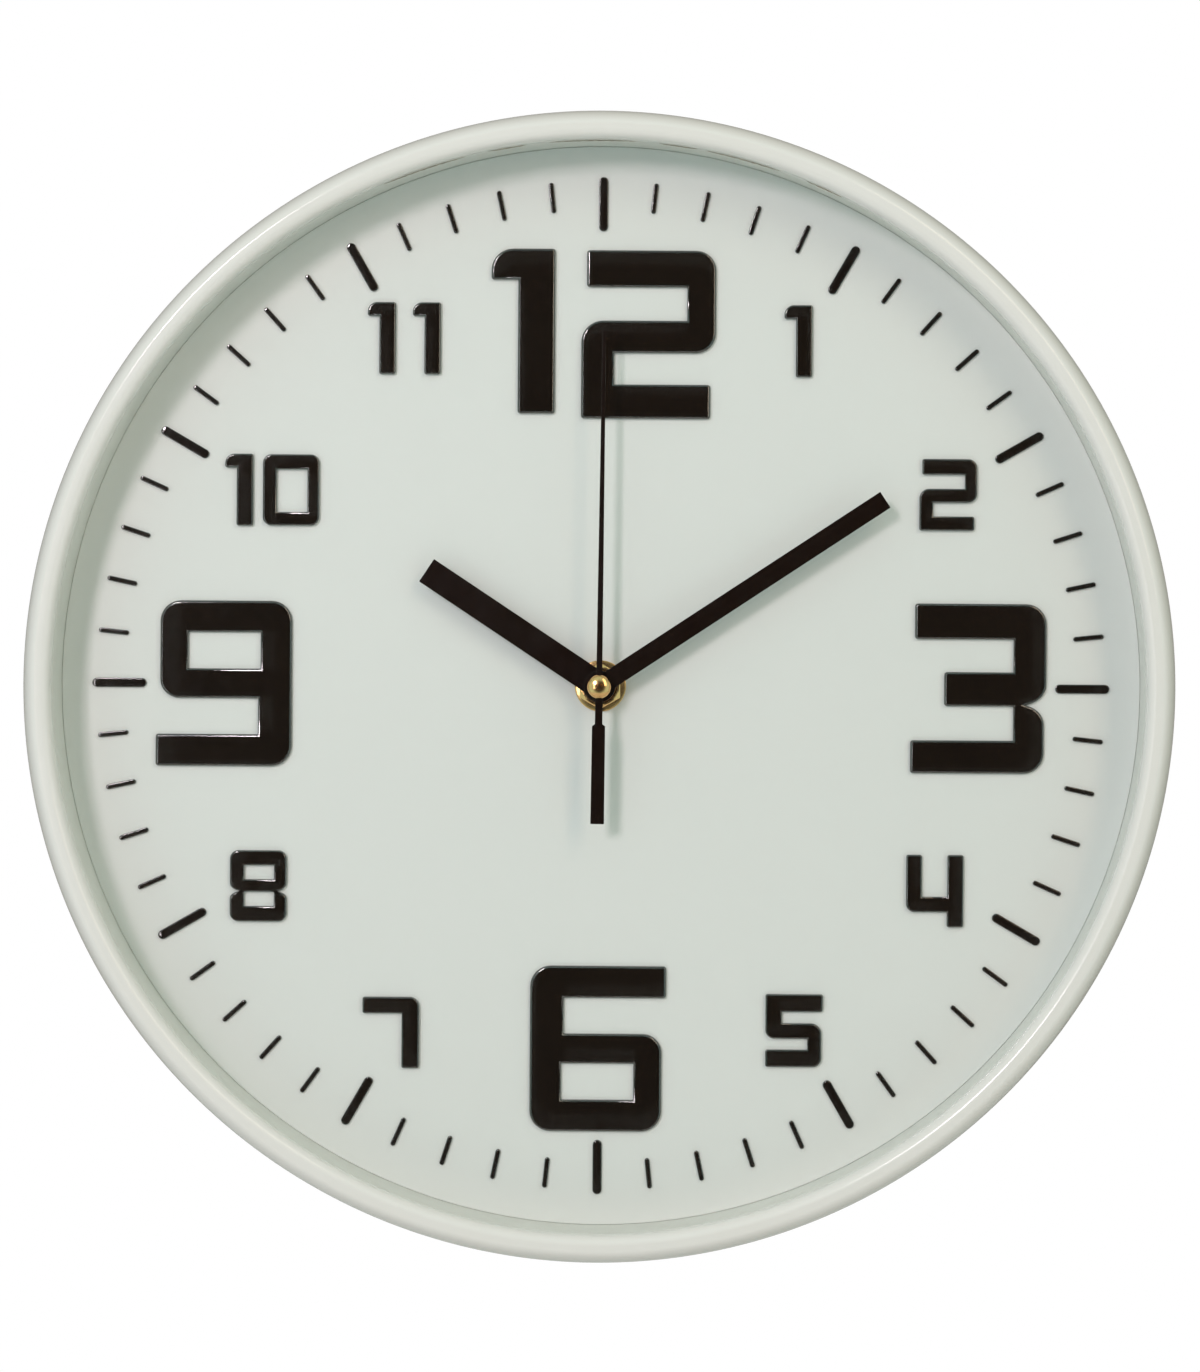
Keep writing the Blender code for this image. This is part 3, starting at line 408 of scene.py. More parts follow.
# ---- Materials ------------------------------------------------------------------------
class Finish:
    """A procedural material around one Principled shader, in the clock's own coordinates."""

    def __init__(self, name, colour, roughness, metallic=0.0):
        self.material = bpy.data.materials.new(name)
        self.material.use_nodes = True
        self.tree = self.material.node_tree
        self.shader = self.tree.nodes["Principled BSDF"]
        self.set("Base Color", (*colour, 1.0))
        self.set("Roughness", roughness)
        self.set("Metallic", metallic)
        self.colour, self.roughness = colour, roughness
        source = self.tree.nodes.new("ShaderNodeTexCoord")
        shifted = self.node("ShaderNodeMapping", {"Location": (-AXIS_X, 0.0, -AXIS_Z)})
        self.link(source.outputs["Object"], shifted.inputs["Vector"])
        self.place = shifted.outputs["Vector"]

    def set(self, socket, value):
        self.shader.inputs[socket].default_value = value
        return self

    def node(self, kind, values=None, **settings):
        made = self.tree.nodes.new(kind)
        for name, value in settings.items():
            setattr(made, name, value)
        for socket, value in (values or {}).items():
            made.inputs[socket].default_value = value
        return made

    def link(self, output, socket):
        self.tree.links.new(output, socket)

    def noise(self, scale, detail=4.0, rough=0.55, stretch=None):
        """Noise with a given number of features to the metre."""
        texture = self.node(
            "ShaderNodeTexNoise", {"Scale": scale, "Detail": detail, "Roughness": rough}
        )
        where = self.place
        if stretch:
            scaled = self.node("ShaderNodeMapping", {"Scale": stretch})
            self.link(where, scaled.inputs["Vector"])
            where = scaled.outputs["Vector"]
        self.link(where, texture.inputs["Vector"])
        return texture.outputs["Fac"]

    def ranged(self, value, low, high, start=0.3, end=0.7):
        """A value from a texture's usual range spread over another range."""
        made = self.node(
            "ShaderNodeMapRange",
            {"From Min": start, "From Max": end, "To Min": low, "To Max": high},
        )
        self.link(value, made.inputs["Value"])
        return made.outputs["Result"]

    def mottled(self, value, other, low=0.0, high=1.0):
        """Mixes the colour towards another one by a texture."""
        mix = self.node("ShaderNodeMix", data_type="RGBA")
        mix.inputs["A"].default_value = (*self.colour, 1.0)
        mix.inputs["B"].default_value = (*other, 1.0)
        self.link(self.ranged(value, low, high), mix.inputs["Factor"])
        self.link(mix.outputs["Result"], self.shader.inputs["Base Color"])
        return self

    def uneven(self, value, spread):
        """Roughness that varies by a texture."""
        result = self.ranged(value, self.roughness - spread, self.roughness + spread)
        self.link(result, self.shader.inputs["Roughness"])
        return self

    def bumped(self, value, height):
        """A bump of a height in millimetres; a second one goes on top of the first."""
        bump = self.node("ShaderNodeBump", {"Strength": 1.0, "Distance": height * MM})
        self.link(value, bump.inputs["Height"])
        before = self.shader.inputs["Normal"]
        if before.is_linked:
            self.link(before.links[0].from_socket, bump.inputs["Normal"])
        self.link(bump.outputs["Normal"], before)
        return self

    def wave(self, per_mm, values, **settings):
        """Waves with about a given number of crests to the millimetre."""
        scale = per_mm * 1000 / (2 * math.pi) * 2
        texture = self.node("ShaderNodeTexWave", {"Scale": scale, **values}, **settings)
        self.link(self.place, texture.inputs["Vector"])
        return texture.outputs["Fac"]

    def rings(self, per_mm, distortion=0.0):
        """Rings around the hands' axis, as a lathe leaves."""
        values = {"Distortion": distortion, "Detail": 2.0}
        return self.wave(per_mm, values, wave_type="RINGS", rings_direction="Y")

    def bands(self, per_mm, direction="X"):
        return self.wave(per_mm, {}, wave_type="BANDS", bands_direction=direction)

    def stops(self, axis, places):
        """Colour zones along an axis: pairs of millimetres and colour."""
        parts = self.node("ShaderNodeSeparateXYZ")
        self.link(self.place, parts.inputs["Vector"])
        margin = 1.0
        start, end = places[0][0] - margin, places[-1][0] + margin
        spread = self.ranged(parts.outputs[axis], 0.0, 1.0, start * MM, end * MM)
        ramp = self.node("ShaderNodeValToRGB")
        ramp.color_ramp.interpolation = "CONSTANT"
        elements = ramp.color_ramp.elements
        while len(elements) < len(places):
            elements.new(0.5)
        for element, (where, colour) in zip(elements, places):
            element.position = (where - start) / (end - start)
            element.color = (*colour, 1.0)
        self.link(spread, ramp.inputs["Fac"])
        self.link(ramp.outputs["Color"], self.shader.inputs["Base Color"])
        return self


def rim_plastic():
    look = Finish("rim_white", (0.73, 0.715, 0.68), 0.13)
    look.set("Specular IOR Level", 0.38)
    look.mottled(look.noise(22.0), (0.72, 0.705, 0.665))
    look.uneven(look.noise(180.0), 0.03)
    look.bumped(look.noise(420.0, 2.0), 0.003)
    return look.material


def pan_plastic():
    look = Finish("pan_white", (0.77, 0.77, 0.73), 0.42)
    look.mottled(look.noise(30.0), (0.74, 0.74, 0.70))
    look.uneven(look.noise(260.0), 0.06)
    look.bumped(look.noise(2600.0, 3.0), 0.02)
    return look.material


def dial_plastic():
    look = Finish("dial_white", (0.785, 0.795, 0.78), 0.5)
    look.mottled(look.noise(16.0), (0.775, 0.785, 0.77))
    look.uneven(look.noise(320.0), 0.05)
    look.bumped(look.noise(3200.0, 2.0), 0.0012)
    return look.material


def pane_glass():
    """Thin flat glass: rays go straight through, and more of them are mirrored at a slant."""
    look = Finish("clear_glass", (1.0, 1.0, 1.0), 0.02, metallic=1.0)
    look.uneven(look.noise(40.0), 0.008)
    tint = (0.982, 0.987, 0.980, 1.0)
    mirrored_head_on, mirrored_more_at_a_slant = 0.035, 0.96
    clear = look.node("ShaderNodeBsdfTransparent", {"Color": tint})
    slant = look.node("ShaderNodeLayerWeight", {"Blend": 0.5})
    power = look.node("ShaderNodeMath", {1: 5.0}, operation="POWER")
    share = look.node(
        "ShaderNodeMath", {1: mirrored_more_at_a_slant, 2: mirrored_head_on},
        operation="MULTIPLY_ADD",
    )
    mix = look.node("ShaderNodeMixShader")
    look.link(slant.outputs["Facing"], power.inputs[0])
    look.link(power.outputs["Value"], share.inputs[0])
    look.link(share.outputs["Value"], mix.inputs["Fac"])
    look.link(clear.outputs["BSDF"], mix.inputs[1])
    look.link(look.shader.outputs["BSDF"], mix.inputs[2])
    look.link(mix.outputs["Shader"], look.tree.nodes["Material Output"].inputs["Surface"])
    return look.material


def numeral_plastic():
    look = Finish("numeral_black", (0.0085, 0.0045, 0.0022), 0.09)
    look.set("IOR", 1.5)
    look.set("Specular IOR Level", 0.8)
    look.set("Coat Weight", 1.0).set("Coat Roughness", 0.05).set("Coat IOR", 1.7)
    look.mottled(look.noise(60.0), (0.0115, 0.0065, 0.0035))
    look.uneven(look.noise(350.0), 0.03)
    look.bumped(look.noise(700.0, 2.0), 0.004)
    return look.material


def hand_paint():
    look = Finish("hand_black", (0.0085, 0.0029, 0.0013), 0.22)
    look.set("Specular IOR Level", 0.3)
    look.mottled(look.noise(60.0), (0.0095, 0.0045, 0.0025))
    look.uneven(look.noise(200.0), 0.04)
    look.bumped(look.noise(2400.0, 3.0), 0.0008)
    return look.material


def brass_metal():
    look = Finish("brass", (0.90, 0.56, 0.25), 0.15, metallic=1.0)
    look.mottled(look.noise(300.0), (0.76, 0.41, 0.15), 0.0, 0.6)
    look.uneven(look.noise(700.0), 0.04)
    look.bumped(look.rings(5.0, 0.3), 0.0008)
    return look.material


def zinc_metal():
    look = Finish("zinc_steel", (0.60, 0.61, 0.62), 0.32, metallic=1.0)
    look.mottled(look.noise(240.0, 5.0, 0.7), (0.46, 0.47, 0.50))
    look.uneven(look.noise(500.0, 5.0), 0.09)
    look.bumped(look.noise(900.0, 3.0, 0.6, (1.0, 1.0, 12.0)), 0.006)
    return look.material


def movement_plastic():
    look = Finish("movement_black", (0.018, 0.018, 0.019), 0.48)
    look.mottled(look.noise(80.0), (0.028, 0.028, 0.029))
    look.uneven(look.noise(500.0), 0.08)
    look.bumped(look.noise(4200.0, 3.0, 0.7), 0.03)
    return look.material


def nylon():
    look = Finish("nylon_white", (0.78, 0.76, 0.70), 0.4)
    look.set("Subsurface Weight", 0.08).set("Subsurface Radius", (0.0008, 0.0007, 0.0005))
    look.mottled(look.noise(300.0), (0.72, 0.70, 0.63))
    look.bumped(look.noise(1800.0, 2.0), 0.01)
    return look.material


def copper():
    look = Finish("copper_wire", (0.62, 0.24, 0.10), 0.3, metallic=1.0)
    wires = look.bands(7.0)
    look.mottled(wires, (0.30, 0.09, 0.03))
    look.bumped(wires, 0.06)
    return look.material


def magnet():
    look = Finish("magnet_grey", (0.09, 0.09, 0.10), 0.5, metallic=0.3)
    look.mottled(look.noise(2500.0), (0.16, 0.16, 0.17))
    look.bumped(look.noise(5000.0), 0.02)
    return look.material


def rubber():
    look = Finish("washer_rubber", (0.020, 0.020, 0.020), 0.75)
    look.mottled(look.noise(500.0), (0.032, 0.031, 0.030))
    look.bumped(look.noise(3000.0), 0.03)
    return look.material


def board():
    """Green solder resist over copper tracks."""
    look = Finish("board_green", (0.02, 0.13, 0.05), 0.3)
    tracks = look.bands(0.55, "DIAGONAL")
    look.mottled(tracks, (0.05, 0.26, 0.10), 0.0, 1.0)
    look.bumped(tracks, 0.03)
    look.uneven(look.noise(800.0), 0.06)
    return look.material


def battery_sleeve():
    """A plain sleeve on a can: a gold end, a dark blue body and bare steel at the ends."""
    steel, blue, gold = (0.62, 0.62, 0.60), (0.02, 0.07, 0.20), (0.80, 0.52, 0.16)
    silver = (0.7, 0.7, 0.68)
    look = Finish("battery_wrap", (0.05, 0.16, 0.30), 0.24, metallic=0.55)
    look.stops("X", [(-24.3, steel), (-23.8, blue), (8.5, silver), (9.3, gold), (22.9, steel)])
    look.uneven(look.noise(300.0), 0.05)
    look.bumped(look.noise(1200.0, 2.0), 0.004)
    return look.material


# Dark brown for the beads under the rim's lip: painted shade along its inner edge, mostly at the
# top.
def painted_lip_shade():
    look = Finish("painted_lip_shade_brown", (0.28, 0.24, 0.18), 0.45)
    look.mottled(look.noise(500.0), (0.42, 0.38, 0.31))
    look.bumped(look.noise(1500.0), 0.05)
    return look.material


def floor_paint():
    look = Finish("studio_floor", (0.82, 0.82, 0.81), 0.8)
    look.mottled(look.noise(3.0), (0.80, 0.80, 0.79))
    look.bumped(look.noise(300.0), 0.1)
    return look.material


RIM = rim_plastic()
PAN = pan_plastic()
DIAL = dial_plastic()
GLASS = pane_glass()
NUMERAL = numeral_plastic()
HAND = hand_paint()
BRASS = brass_metal()
ZINC = zinc_metal()
MOVEMENT = movement_plastic()
NYLON = nylon()
COPPER = copper()
MAGNET = magnet()
RUBBER = rubber()
BOARD = board()
BATTERY = battery_sleeve()
PAINTED_LIP_SHADE = painted_lip_shade()


# ---- Camera and lights ------------------------------------------------------------------
LENS_PLACE = (22.0, 15.0, 713.1)  # millimetres right of and above the axis, and from the wall
LENS_MM = 68.37
LENS_TURN = (math.radians(0.3), math.radians(0.13))  # the clock's side and top lean away by this
LENS_SHIFT = (-0.0511, -0.0367)
ROLL = math.radians(0.4)

# Where the lights stand: slopes to the right and up, for one unit forward from the dial
# (for the back fill, one unit behind it).
KEY = (-0.385, 0.343)
LEFT = (-0.42, 0.10)
RIGHT = (0.585, 0.52)
BACK = (0.0, 0.15)

FLOOR_RADIUS, FLOOR_THICKNESS = 900.0, 30.0
FLOOR_HEIGHT = -0.65  # of its underside, in the frame's metres


def make_camera():
    data = bpy.data.cameras.new("camera")
    data.lens = LENS_MM
    data.sensor_width = 36.0
    data.shift_x, data.shift_y = LENS_SHIFT
    data.clip_start, data.clip_end = 0.02, 50.0
    camera = bpy.data.objects.new("camera", data)
    bpy.context.scene.collection.objects.link(camera)
    camera.location = place(*LENS_PLACE)
    towards = Vector((math.tan(LENS_TURN[0]), -1.0, math.tan(LENS_TURN[1])))
    turn = (-towards).to_track_quat("-Z", "Y")
    camera.rotation_mode = "QUATERNION"
    camera.rotation_quaternion = turn @ Matrix.Rotation(ROLL, 3, "Z").to_quaternion()
    bpy.context.scene.camera = camera


def soft_light(name, slopes, distance, size, watts, colour=(1.0, 1.0, 1.0), from_behind=False):
    """A softbox of a width and height, at a distance in metres, aimed at the dial."""
    data = bpy.data.lights.new(name, "AREA")
    data.shape = "RECTANGLE"
    data.size, data.size_y = size
    data.energy = watts
    data.color = colour
    light = bpy.data.objects.new(name, data)
    bpy.context.scene.collection.objects.link(light)
    target = Vector(place(0.0, 0.0, DIAL_FRONT))
    forward = 1.0 if from_behind else -1.0
    direction = Vector((slopes[0], forward, slopes[1])).normalized()
    light.location = target + direction * distance
    light.rotation_mode = "QUATERNION"
    light.rotation_quaternion = (-direction).to_track_quat("-Z", "Y")
    return light


# Light of the room by direction, where -1 is towards the viewer and 1 is behind the clock.
ROOM = [
    (-1.0, (0.02, 0.02, 0.02)), (-0.95, (0.03, 0.03, 0.03)), (-0.80, (0.65, 0.90, 0.86)),
    (-0.55, (0.65, 0.90, 0.86)), (-0.15, (0.36, 0.40, 0.36)), (0.30, (0.24, 0.20, 0.16)),
    (1.0, (0.24, 0.22, 0.20)),
]


def make_world():
    """White behind the clock; the light in the room comes from the sides more than from ahead."""
    world = bpy.data.worlds.new("studio")
    bpy.context.scene.world = world
    world.use_nodes = True
    nodes, links = world.node_tree.nodes, world.node_tree.links
    nodes.clear()
    where = nodes.new("ShaderNodeTexCoord")
    parts = nodes.new("ShaderNodeSeparateXYZ")
    spread = nodes.new("ShaderNodeMapRange")
    spread.inputs["From Min"].default_value = -1.0
    room = nodes.new("ShaderNodeValToRGB")
    room.color_ramp.interpolation = "EASE"
    while len(room.color_ramp.elements) < len(ROOM):
        room.color_ramp.elements.new(0.5)
    for element, (direction, colour) in zip(room.color_ramp.elements, ROOM):
        element.position = (direction + 1) / 2
        element.color = (*colour, 1.0)
    path = nodes.new("ShaderNodeLightPath")
    choose = nodes.new("ShaderNodeMix")
    choose.data_type = "RGBA"
    choose.inputs["B"].default_value = (1.0, 1.0, 1.0, 1.0)
    background = nodes.new("ShaderNodeBackground")
    output = nodes.new("ShaderNodeOutputWorld")
    links.new(where.outputs["Generated"], parts.inputs["Vector"])
    links.new(parts.outputs["Y"], spread.inputs["Value"])
    links.new(spread.outputs["Result"], room.inputs["Fac"])
    links.new(room.outputs["Color"], choose.inputs["A"])
    links.new(path.outputs["Is Camera Ray"], choose.inputs["Factor"])
    links.new(choose.outputs["Result"], background.inputs["Color"])
    links.new(background.outputs["Background"], output.inputs["Surface"])


def make_floor():
    mesh = plate(circle(FLOOR_RADIUS), 0.0, FLOOR_THICKNESS, edge=8.0)
    mesh.transform(Matrix.Translation((-AXIS_X, 0.0, -AXIS_Z)))
    mesh.transform(Matrix.Rotation(-math.pi / 2, 4, "X"))
    mesh.transform(Matrix.Translation((0.0, 0.0, FLOOR_HEIGHT)))
    mesh.materials.append(floor_paint())
    floor = bpy.data.objects.new("floor", mesh)
    bpy.context.scene.collection.objects.link(floor)


make_camera()
make_world()
make_floor()
soft_light("key_softbox", KEY, 1.6, (0.26, 0.34), 8.8, (1.0, 0.86, 0.93))
soft_light("left_strip", LEFT, 1.6, (0.14, 0.9), 2.2, (1.0, 0.90, 0.95))
soft_light("right_softbox", RIGHT, 1.6, (0.36, 1.1), 4.9, (1.0, 0.70, 0.50))
back_fill = soft_light("back_fill", BACK, 2.2, (0.5, 0.5), 12.0, from_behind=True)
back_fill.visible_glossy = False
bpy.context.scene.view_settings.view_transform = "Standard"


# ---- Rim, glass and pan ---------------------------------------------------------------
def quarter_ellipse(start, end, steps, vertical_first, fullness=2.0):
    """Points after start, up to and including end, on a quarter of an ellipse.

    A fullness below 2 makes it leaner than an ellipse.
    """
    points = []
    for i in range(1, steps + 1):
        angle = math.pi / 2 * i / steps
        grow = math.sin(angle) ** (2 / fullness)
        turn = 1 - max(0.0, math.cos(angle)) ** (2 / fullness)
        share_r, share_d = (turn, grow) if vertical_first else (grow, turn)
        points.append(
            (start[0] + (end[0] - start[0]) * share_r, start[1] + (end[1] - start[1]) * share_d)
        )
    return points


def build_rim():
    widest = (RIM_RADIUS, WIDEST_DEPTH)
    crest = (CREST_RADIUS, RIM_FRONT)
    shoulder = (SHOULDER_RADIUS, RIM_FRONT)
    lip = (LIP_RADIUS, LIP_DEPTH)
    lip_rear = GLASS_FRONT + LIP_CLEARANCE
    profile = [
        (RIM_INNER_RADIUS, RIM_BACK + 0.3), (RIM_INNER_RADIUS + 0.3, RIM_BACK),
        (148.5, RIM_BACK), (148.9, RIM_BACK + 0.15), (149.1, RIM_BACK + 0.5), widest,
        *quarter_ellipse(widest, shoulder, 44, True, 1.85), crest,
        *quarter_ellipse(crest, lip, 14, False),
        (LIP_RADIUS, lip_rear + 0.2), (LIP_RADIUS + 0.2, lip_rear), (RIM_INNER_RADIUS, lip_rear),
    ]
    piece("rim_moulding", turned(profile), RIM, stands_for=["case_rim"])


def build_glass():
    radius = half_width("glass_lens")
    bevel = 0.3
    profile = [
        (0.0, GLASS_BACK), (radius - bevel, GLASS_BACK), (radius, GLASS_BACK + bevel),
        (radius, GLASS_FRONT - bevel), (radius - bevel, GLASS_FRONT), (0.0, GLASS_FRONT),
    ]
    piece("glass_pane", turned(profile), GLASS, stands_for=["glass_lens"])


def build_painted_lip_shade():
    """Short dark brown beads where the glass meets the rim, mostly at the top: painted shade under
    the lip.
    """
    places = [(-19, 9), (-10, 4), (-1, 9), (8, 4), (15, 8), (24, 4)]  # clock angle and span
    beads = []
    for number, (degrees, span) in enumerate(places):
        steps = 4 * span
        outer, inner = [], []
        for i in range(steps + 1):
            angle = degrees - span / 2 + span * i / steps
            swell = math.sin(math.pi * i / steps) ** 0.5
            ragged = 0.65 + 0.35 * math.sin(2.7 * i + 1.9 * number) * math.sin(1.3 * i + number)
            outer.append(clock_point(LIP_RADIUS - 0.02, angle))
            inner.append(clock_point(LIP_RADIUS - 0.05 - 0.3 * swell * ragged, angle))
        beads.append(outer + inner[::-1])
    mesh = plates(beads, GLASS_FRONT + GLUE_GAP, GLASS_FRONT + 0.4, edge=0.02, steps=1)
    piece("glass_lip_shade_beads", mesh, PAINTED_LIP_SHADE)


def pan_profile():
    """The pan's section: floor, wall, flange and foot, with small rounded corners."""
    hole, (wall, outer) = PANEL_HOLE, PAN_WALL
    floor_back, floor_front = PAN_FLOOR
    top = GLASS_BACK - 0.3
    return rounded([
        (hole, floor_front, 0.2), (wall, floor_front, 0.3), (wall, top, 0.3), (outer, top, 0.3),
        (outer, FLANGE[1], 0.3), (FLANGE_RADIUS, FLANGE[1], 0.4), (FLANGE_RADIUS, FLANGE[0], 0.4),
        (outer, FLANGE[0], 0.3), (outer, 0.0, 0.4), (FOOT_RADIUS, 0.0, 0.4),
        (FOOT_RADIUS, floor_back, 1.2), (hole, floor_back, 0.2),
    ], 30.0)


def build_pan():
    back = PAN_FLOOR[0]
    ribs = [
        moved(rectangle(-0.8, 0.8, -48.0, 48.0, 0.5), a, clock_point(94.0, a))
        for a in (360 / RIB_COUNT * (i + 0.5) for i in range(RIB_COUNT))
    ]
    hanger_fixings = [middle(f"hanger_screw_{side}") for side in ("left", "right")]
    posts = [circle(4.0, 32, centre) for centre in hanger_fixings]
    pilots = [circle(1.2, 16, centre) for centre in hanger_fixings]
    holes = [circle(1.3, 16, middle(f"cover_screw_{i}")) for i in range(1, 7)]
    plate_front = depths("hanger_plate")[1] + 0.3
    pan = union(
        turned(pan_profile(), 192),
        plates(ribs, back - 2.5, back + 0.4, edge=0.0, back_edge=0.4),
        plates(posts, plate_front, back + 0.4, edge=0.0, back_edge=0.4),
    )
    pan = cut(
        pan,
        plates(pilots, plate_front - 1, plate_front + 9, edge=0.0),
        plates(holes, FLANGE[0] - 1, FLANGE[1] + 1, edge=0.0),
    )
    piece("pan_moulding", pan, PAN, stands_for=["back_pan"])


# ---- Dial -----------------------------------------------------------------------------
def build_dial():
    disc = plate(circle(DIAL_RADIUS, 288), DIAL_BACK, DIAL_FRONT, [circle(PANEL_HOLE)], edge=0.2)
    piece("dial_plate", disc, DIAL, stands_for=["dial"])
    rows = {
        "hour_marks": (HOUR_BAR, range(0, 60, 5)),
        "minute_marks": (MINUTE_BAR, [m for m in range(60) if m % 5]),
    }
    for name, ((radius, length, width), minutes) in rows.items():
        bars = [moved(stadium(length, width), 6 * m, clock_point(radius, 6 * m)) for m in minutes]
        mesh = plates(bars, DIAL_FRONT + GLUE_GAP, MARK_FRONT, edge=0.28, steps=4)
        piece(name, mesh, NUMERAL, stands_for=["dial"])


def build_numerals():
    for node, name, corners, eyes, half_turns in NUMERALS:
        width = max(x for x, _, _ in corners)
        height = max(z for _, z, _ in corners)
        loops = []
        for loop in (corners, *eyes):
            centred = [(x - width / 2, z - height / 2, radius) for x, z, radius in loop]
            loops.append(moved(rounded(centred), 180 * half_turns, middle(node)))
        front = depths(node)[1]
        is_big = height > 30
        edge = 0.7 if is_big else 0.5
        mesh = plate(loops[0], DIAL_FRONT + GLUE_GAP, front, loops[1:], edge=edge, steps=5)
        piece(name, mesh, NUMERAL, stands_for=[node])


# ---- Hands and hub --------------------------------------------------------------------
def pointer(length, width, degrees):
    """A flat bar from a round hub, pointing at a clock angle."""
    half = width / 2
    meeting = math.degrees(math.asin(half / HUB_RADIUS))
    steps = 48
    hub = [
        clock_point(HUB_RADIUS, meeting + (360 - 2 * meeting) * i / steps) for i in range(steps + 1)
    ]
    tip = [(-half, length, 0.2), (half, length, 0.2)]
    return moved(rounded(tip + [(*point, 0) for point in hub]), degrees)


def build_hands():
    for hand, (length, width, degrees, hole) in BAR_HANDS.items():
        outline = pointer(length, width, degrees)
        mesh = plate(outline, *depths(f"{hand}_hand"), [circle(hole)], 0.12, 0.1)
        piece(f"{hand}_pointer", mesh, HAND, hand, [f"{hand}_hand"])
    hub = [(*clock_point(2.5, 20 + 140 * i / 14), 0) for i in range(15)]
    right = [
        (0.45, 93.3, 0.1), (0.78, 3.0, 0), *hub, (0.98, -3.0, 0), (0.98, -9.8, 0.2),
        (1.72, -10.3, 0.2), (1.78, -35.9, 0.2),
    ]
    left = [(-x, z, radius) for x, z, radius in reversed(right)]
    outline = moved(rounded(right + left), SECOND_HAND_ANGLE)
    second = plate(outline, *depths("second_hand"), [circle(1.3, 48)], 0.08, 0.06)
    piece("second_pointer", second, HAND, "second", ["second_hand"])


def build_cap():
    back, front = depths("second_hand_cap")
    base = depths("second_hand")[1] + 0.3
    radius, height = 3.1, front - base
    dome = []
    for degrees in range(0, 90, 6):
        angle = math.radians(degrees)
        rise = (height - 0.3) * math.sin(angle)
        dome.append((radius * math.cos(angle), base + 0.3 + rise))
    profile = [
        (0.65, back), (0.9, back), (1.0, back + 0.1), (1.0, base), (radius - 0.2, base),
        (radius - 0.03, base + 0.12), *dome, (0, front), (0, base + 0.7), (0.65, base + 0.7),
    ]
    piece("pointer_cap", turned(profile, 96), BRASS, "second", ["second_hand_cap"])


def build_bushing():
    """A tube with a collar and a thread, whose turns are drawn as separate rings."""
    back, front = depths("threaded_bushing")
    inner, outer, collar = 2.8, 3.9, 5.2
    pitch, groove = 0.5, 0.25
    seat = depths("movement_front_case")[1]
    thread = []
    turns = int((front - 0.5 - seat - 1.2) / pitch)
    for i in range(turns):
        start = seat + 1.2 + pitch * i
        thread += [(outer - groove, start), (outer, start + 0.2), (outer, start + 0.3)]
    profile = [
        (inner, back), (outer, back), (outer, seat + 0.3), (collar, seat + 0.3),
        (collar, seat + 0.9), (outer - groove, seat + 0.9), *thread,
        (outer - 0.3, front - 0.3), (outer - 0.5, front), (inner + 0.15, front),
        (inner, front - 0.15),
    ]
    mesh = turned(profile, 96)
    piece("bushing_thread", mesh, BRASS, stands_for=["threaded_bushing"])


def build_nut_and_washers():
    back, front = depths("brass_washer")
    profile = rounded([
        (4.2, back, 0.1), (6.8, back, 0.05), (6.8, back + 0.3, 0.12), (6.3, back + 0.4, 0.15),
        (4.7, front, 0.15), (4.2, front, 0.1),
    ], 15.0)
    piece("washer_ring", turned(profile, 144), BRASS, stands_for=["brass_washer"])

    back, front = depths("hex_nut")
    flats = rounded([(*clock_point(6.12, 60 * i), 0.25) for i in range(6)])
    nut = plate(flats, back, front, [circle(4.15)], 0.1, 0.1)
    chamfer = [
        (0, back - 1), (6.4, back - 1), (6.4, front - 0.85), (4.95, front), (4.9, front + 1),
        (0, front + 1),
    ]
    nut = combined(nut, turned(chamfer, 96), "INTERSECT")
    piece("nut_hexagon", nut, BRASS, stands_for=["hex_nut"])

    back, front = depths("rubber_washer")
    inner, outer = 5.6, 11.0
    profile = rounded(
        [(inner, back, 0.1), (outer, back, 0.2), (outer, front, 0.2), (inner, front, 0.1)], 30.0
    )
    mesh = turned(profile, 96)
    piece("rubber_ring", mesh, RUBBER, stands_for=["rubber_washer"])


# ---- Movement -------------------------------------------------------------------------
def shell_outlines():
    """The outside and the hollow of both halves of the movement's case."""
    half = half_width("movement_front_case")
    wall = 1.0
    outline = rectangle(-half, half, -half, half, 2.0)
    return outline, rectangle(wall - half, half - wall, wall - half, half - wall, 1.0)


def build_front_shell():
    half = half_width("movement_front_case")
    outline, hollow = shell_outlines()
    back, front = depths("movement_front_case")
    shell = plate(outline, back, front, edge=0.8)
    hooks = [
        rectangle(x - 3.5, x + 3.5, min(z, z * 1.02), max(z, z * 1.02), 0.2)
        for x in (-16.0, 16.0) for z in (-half - 0.1, half + 0.1)
    ]
    shell = union(shell, plates(hooks, back - 2.6, back + 4.0, edge=0.2, back_edge=0.2))
    shell = cut(
        shell,
        plate(hollow, back - 1, front - 1.0, edge=0.0),
        plate(circle(4.2), back, front + 1, edge=0.0),
    )
    stands_for = ["movement_front_case"]
    piece("movement_front_shell", shell, MOVEMENT, stands_for=stands_for)


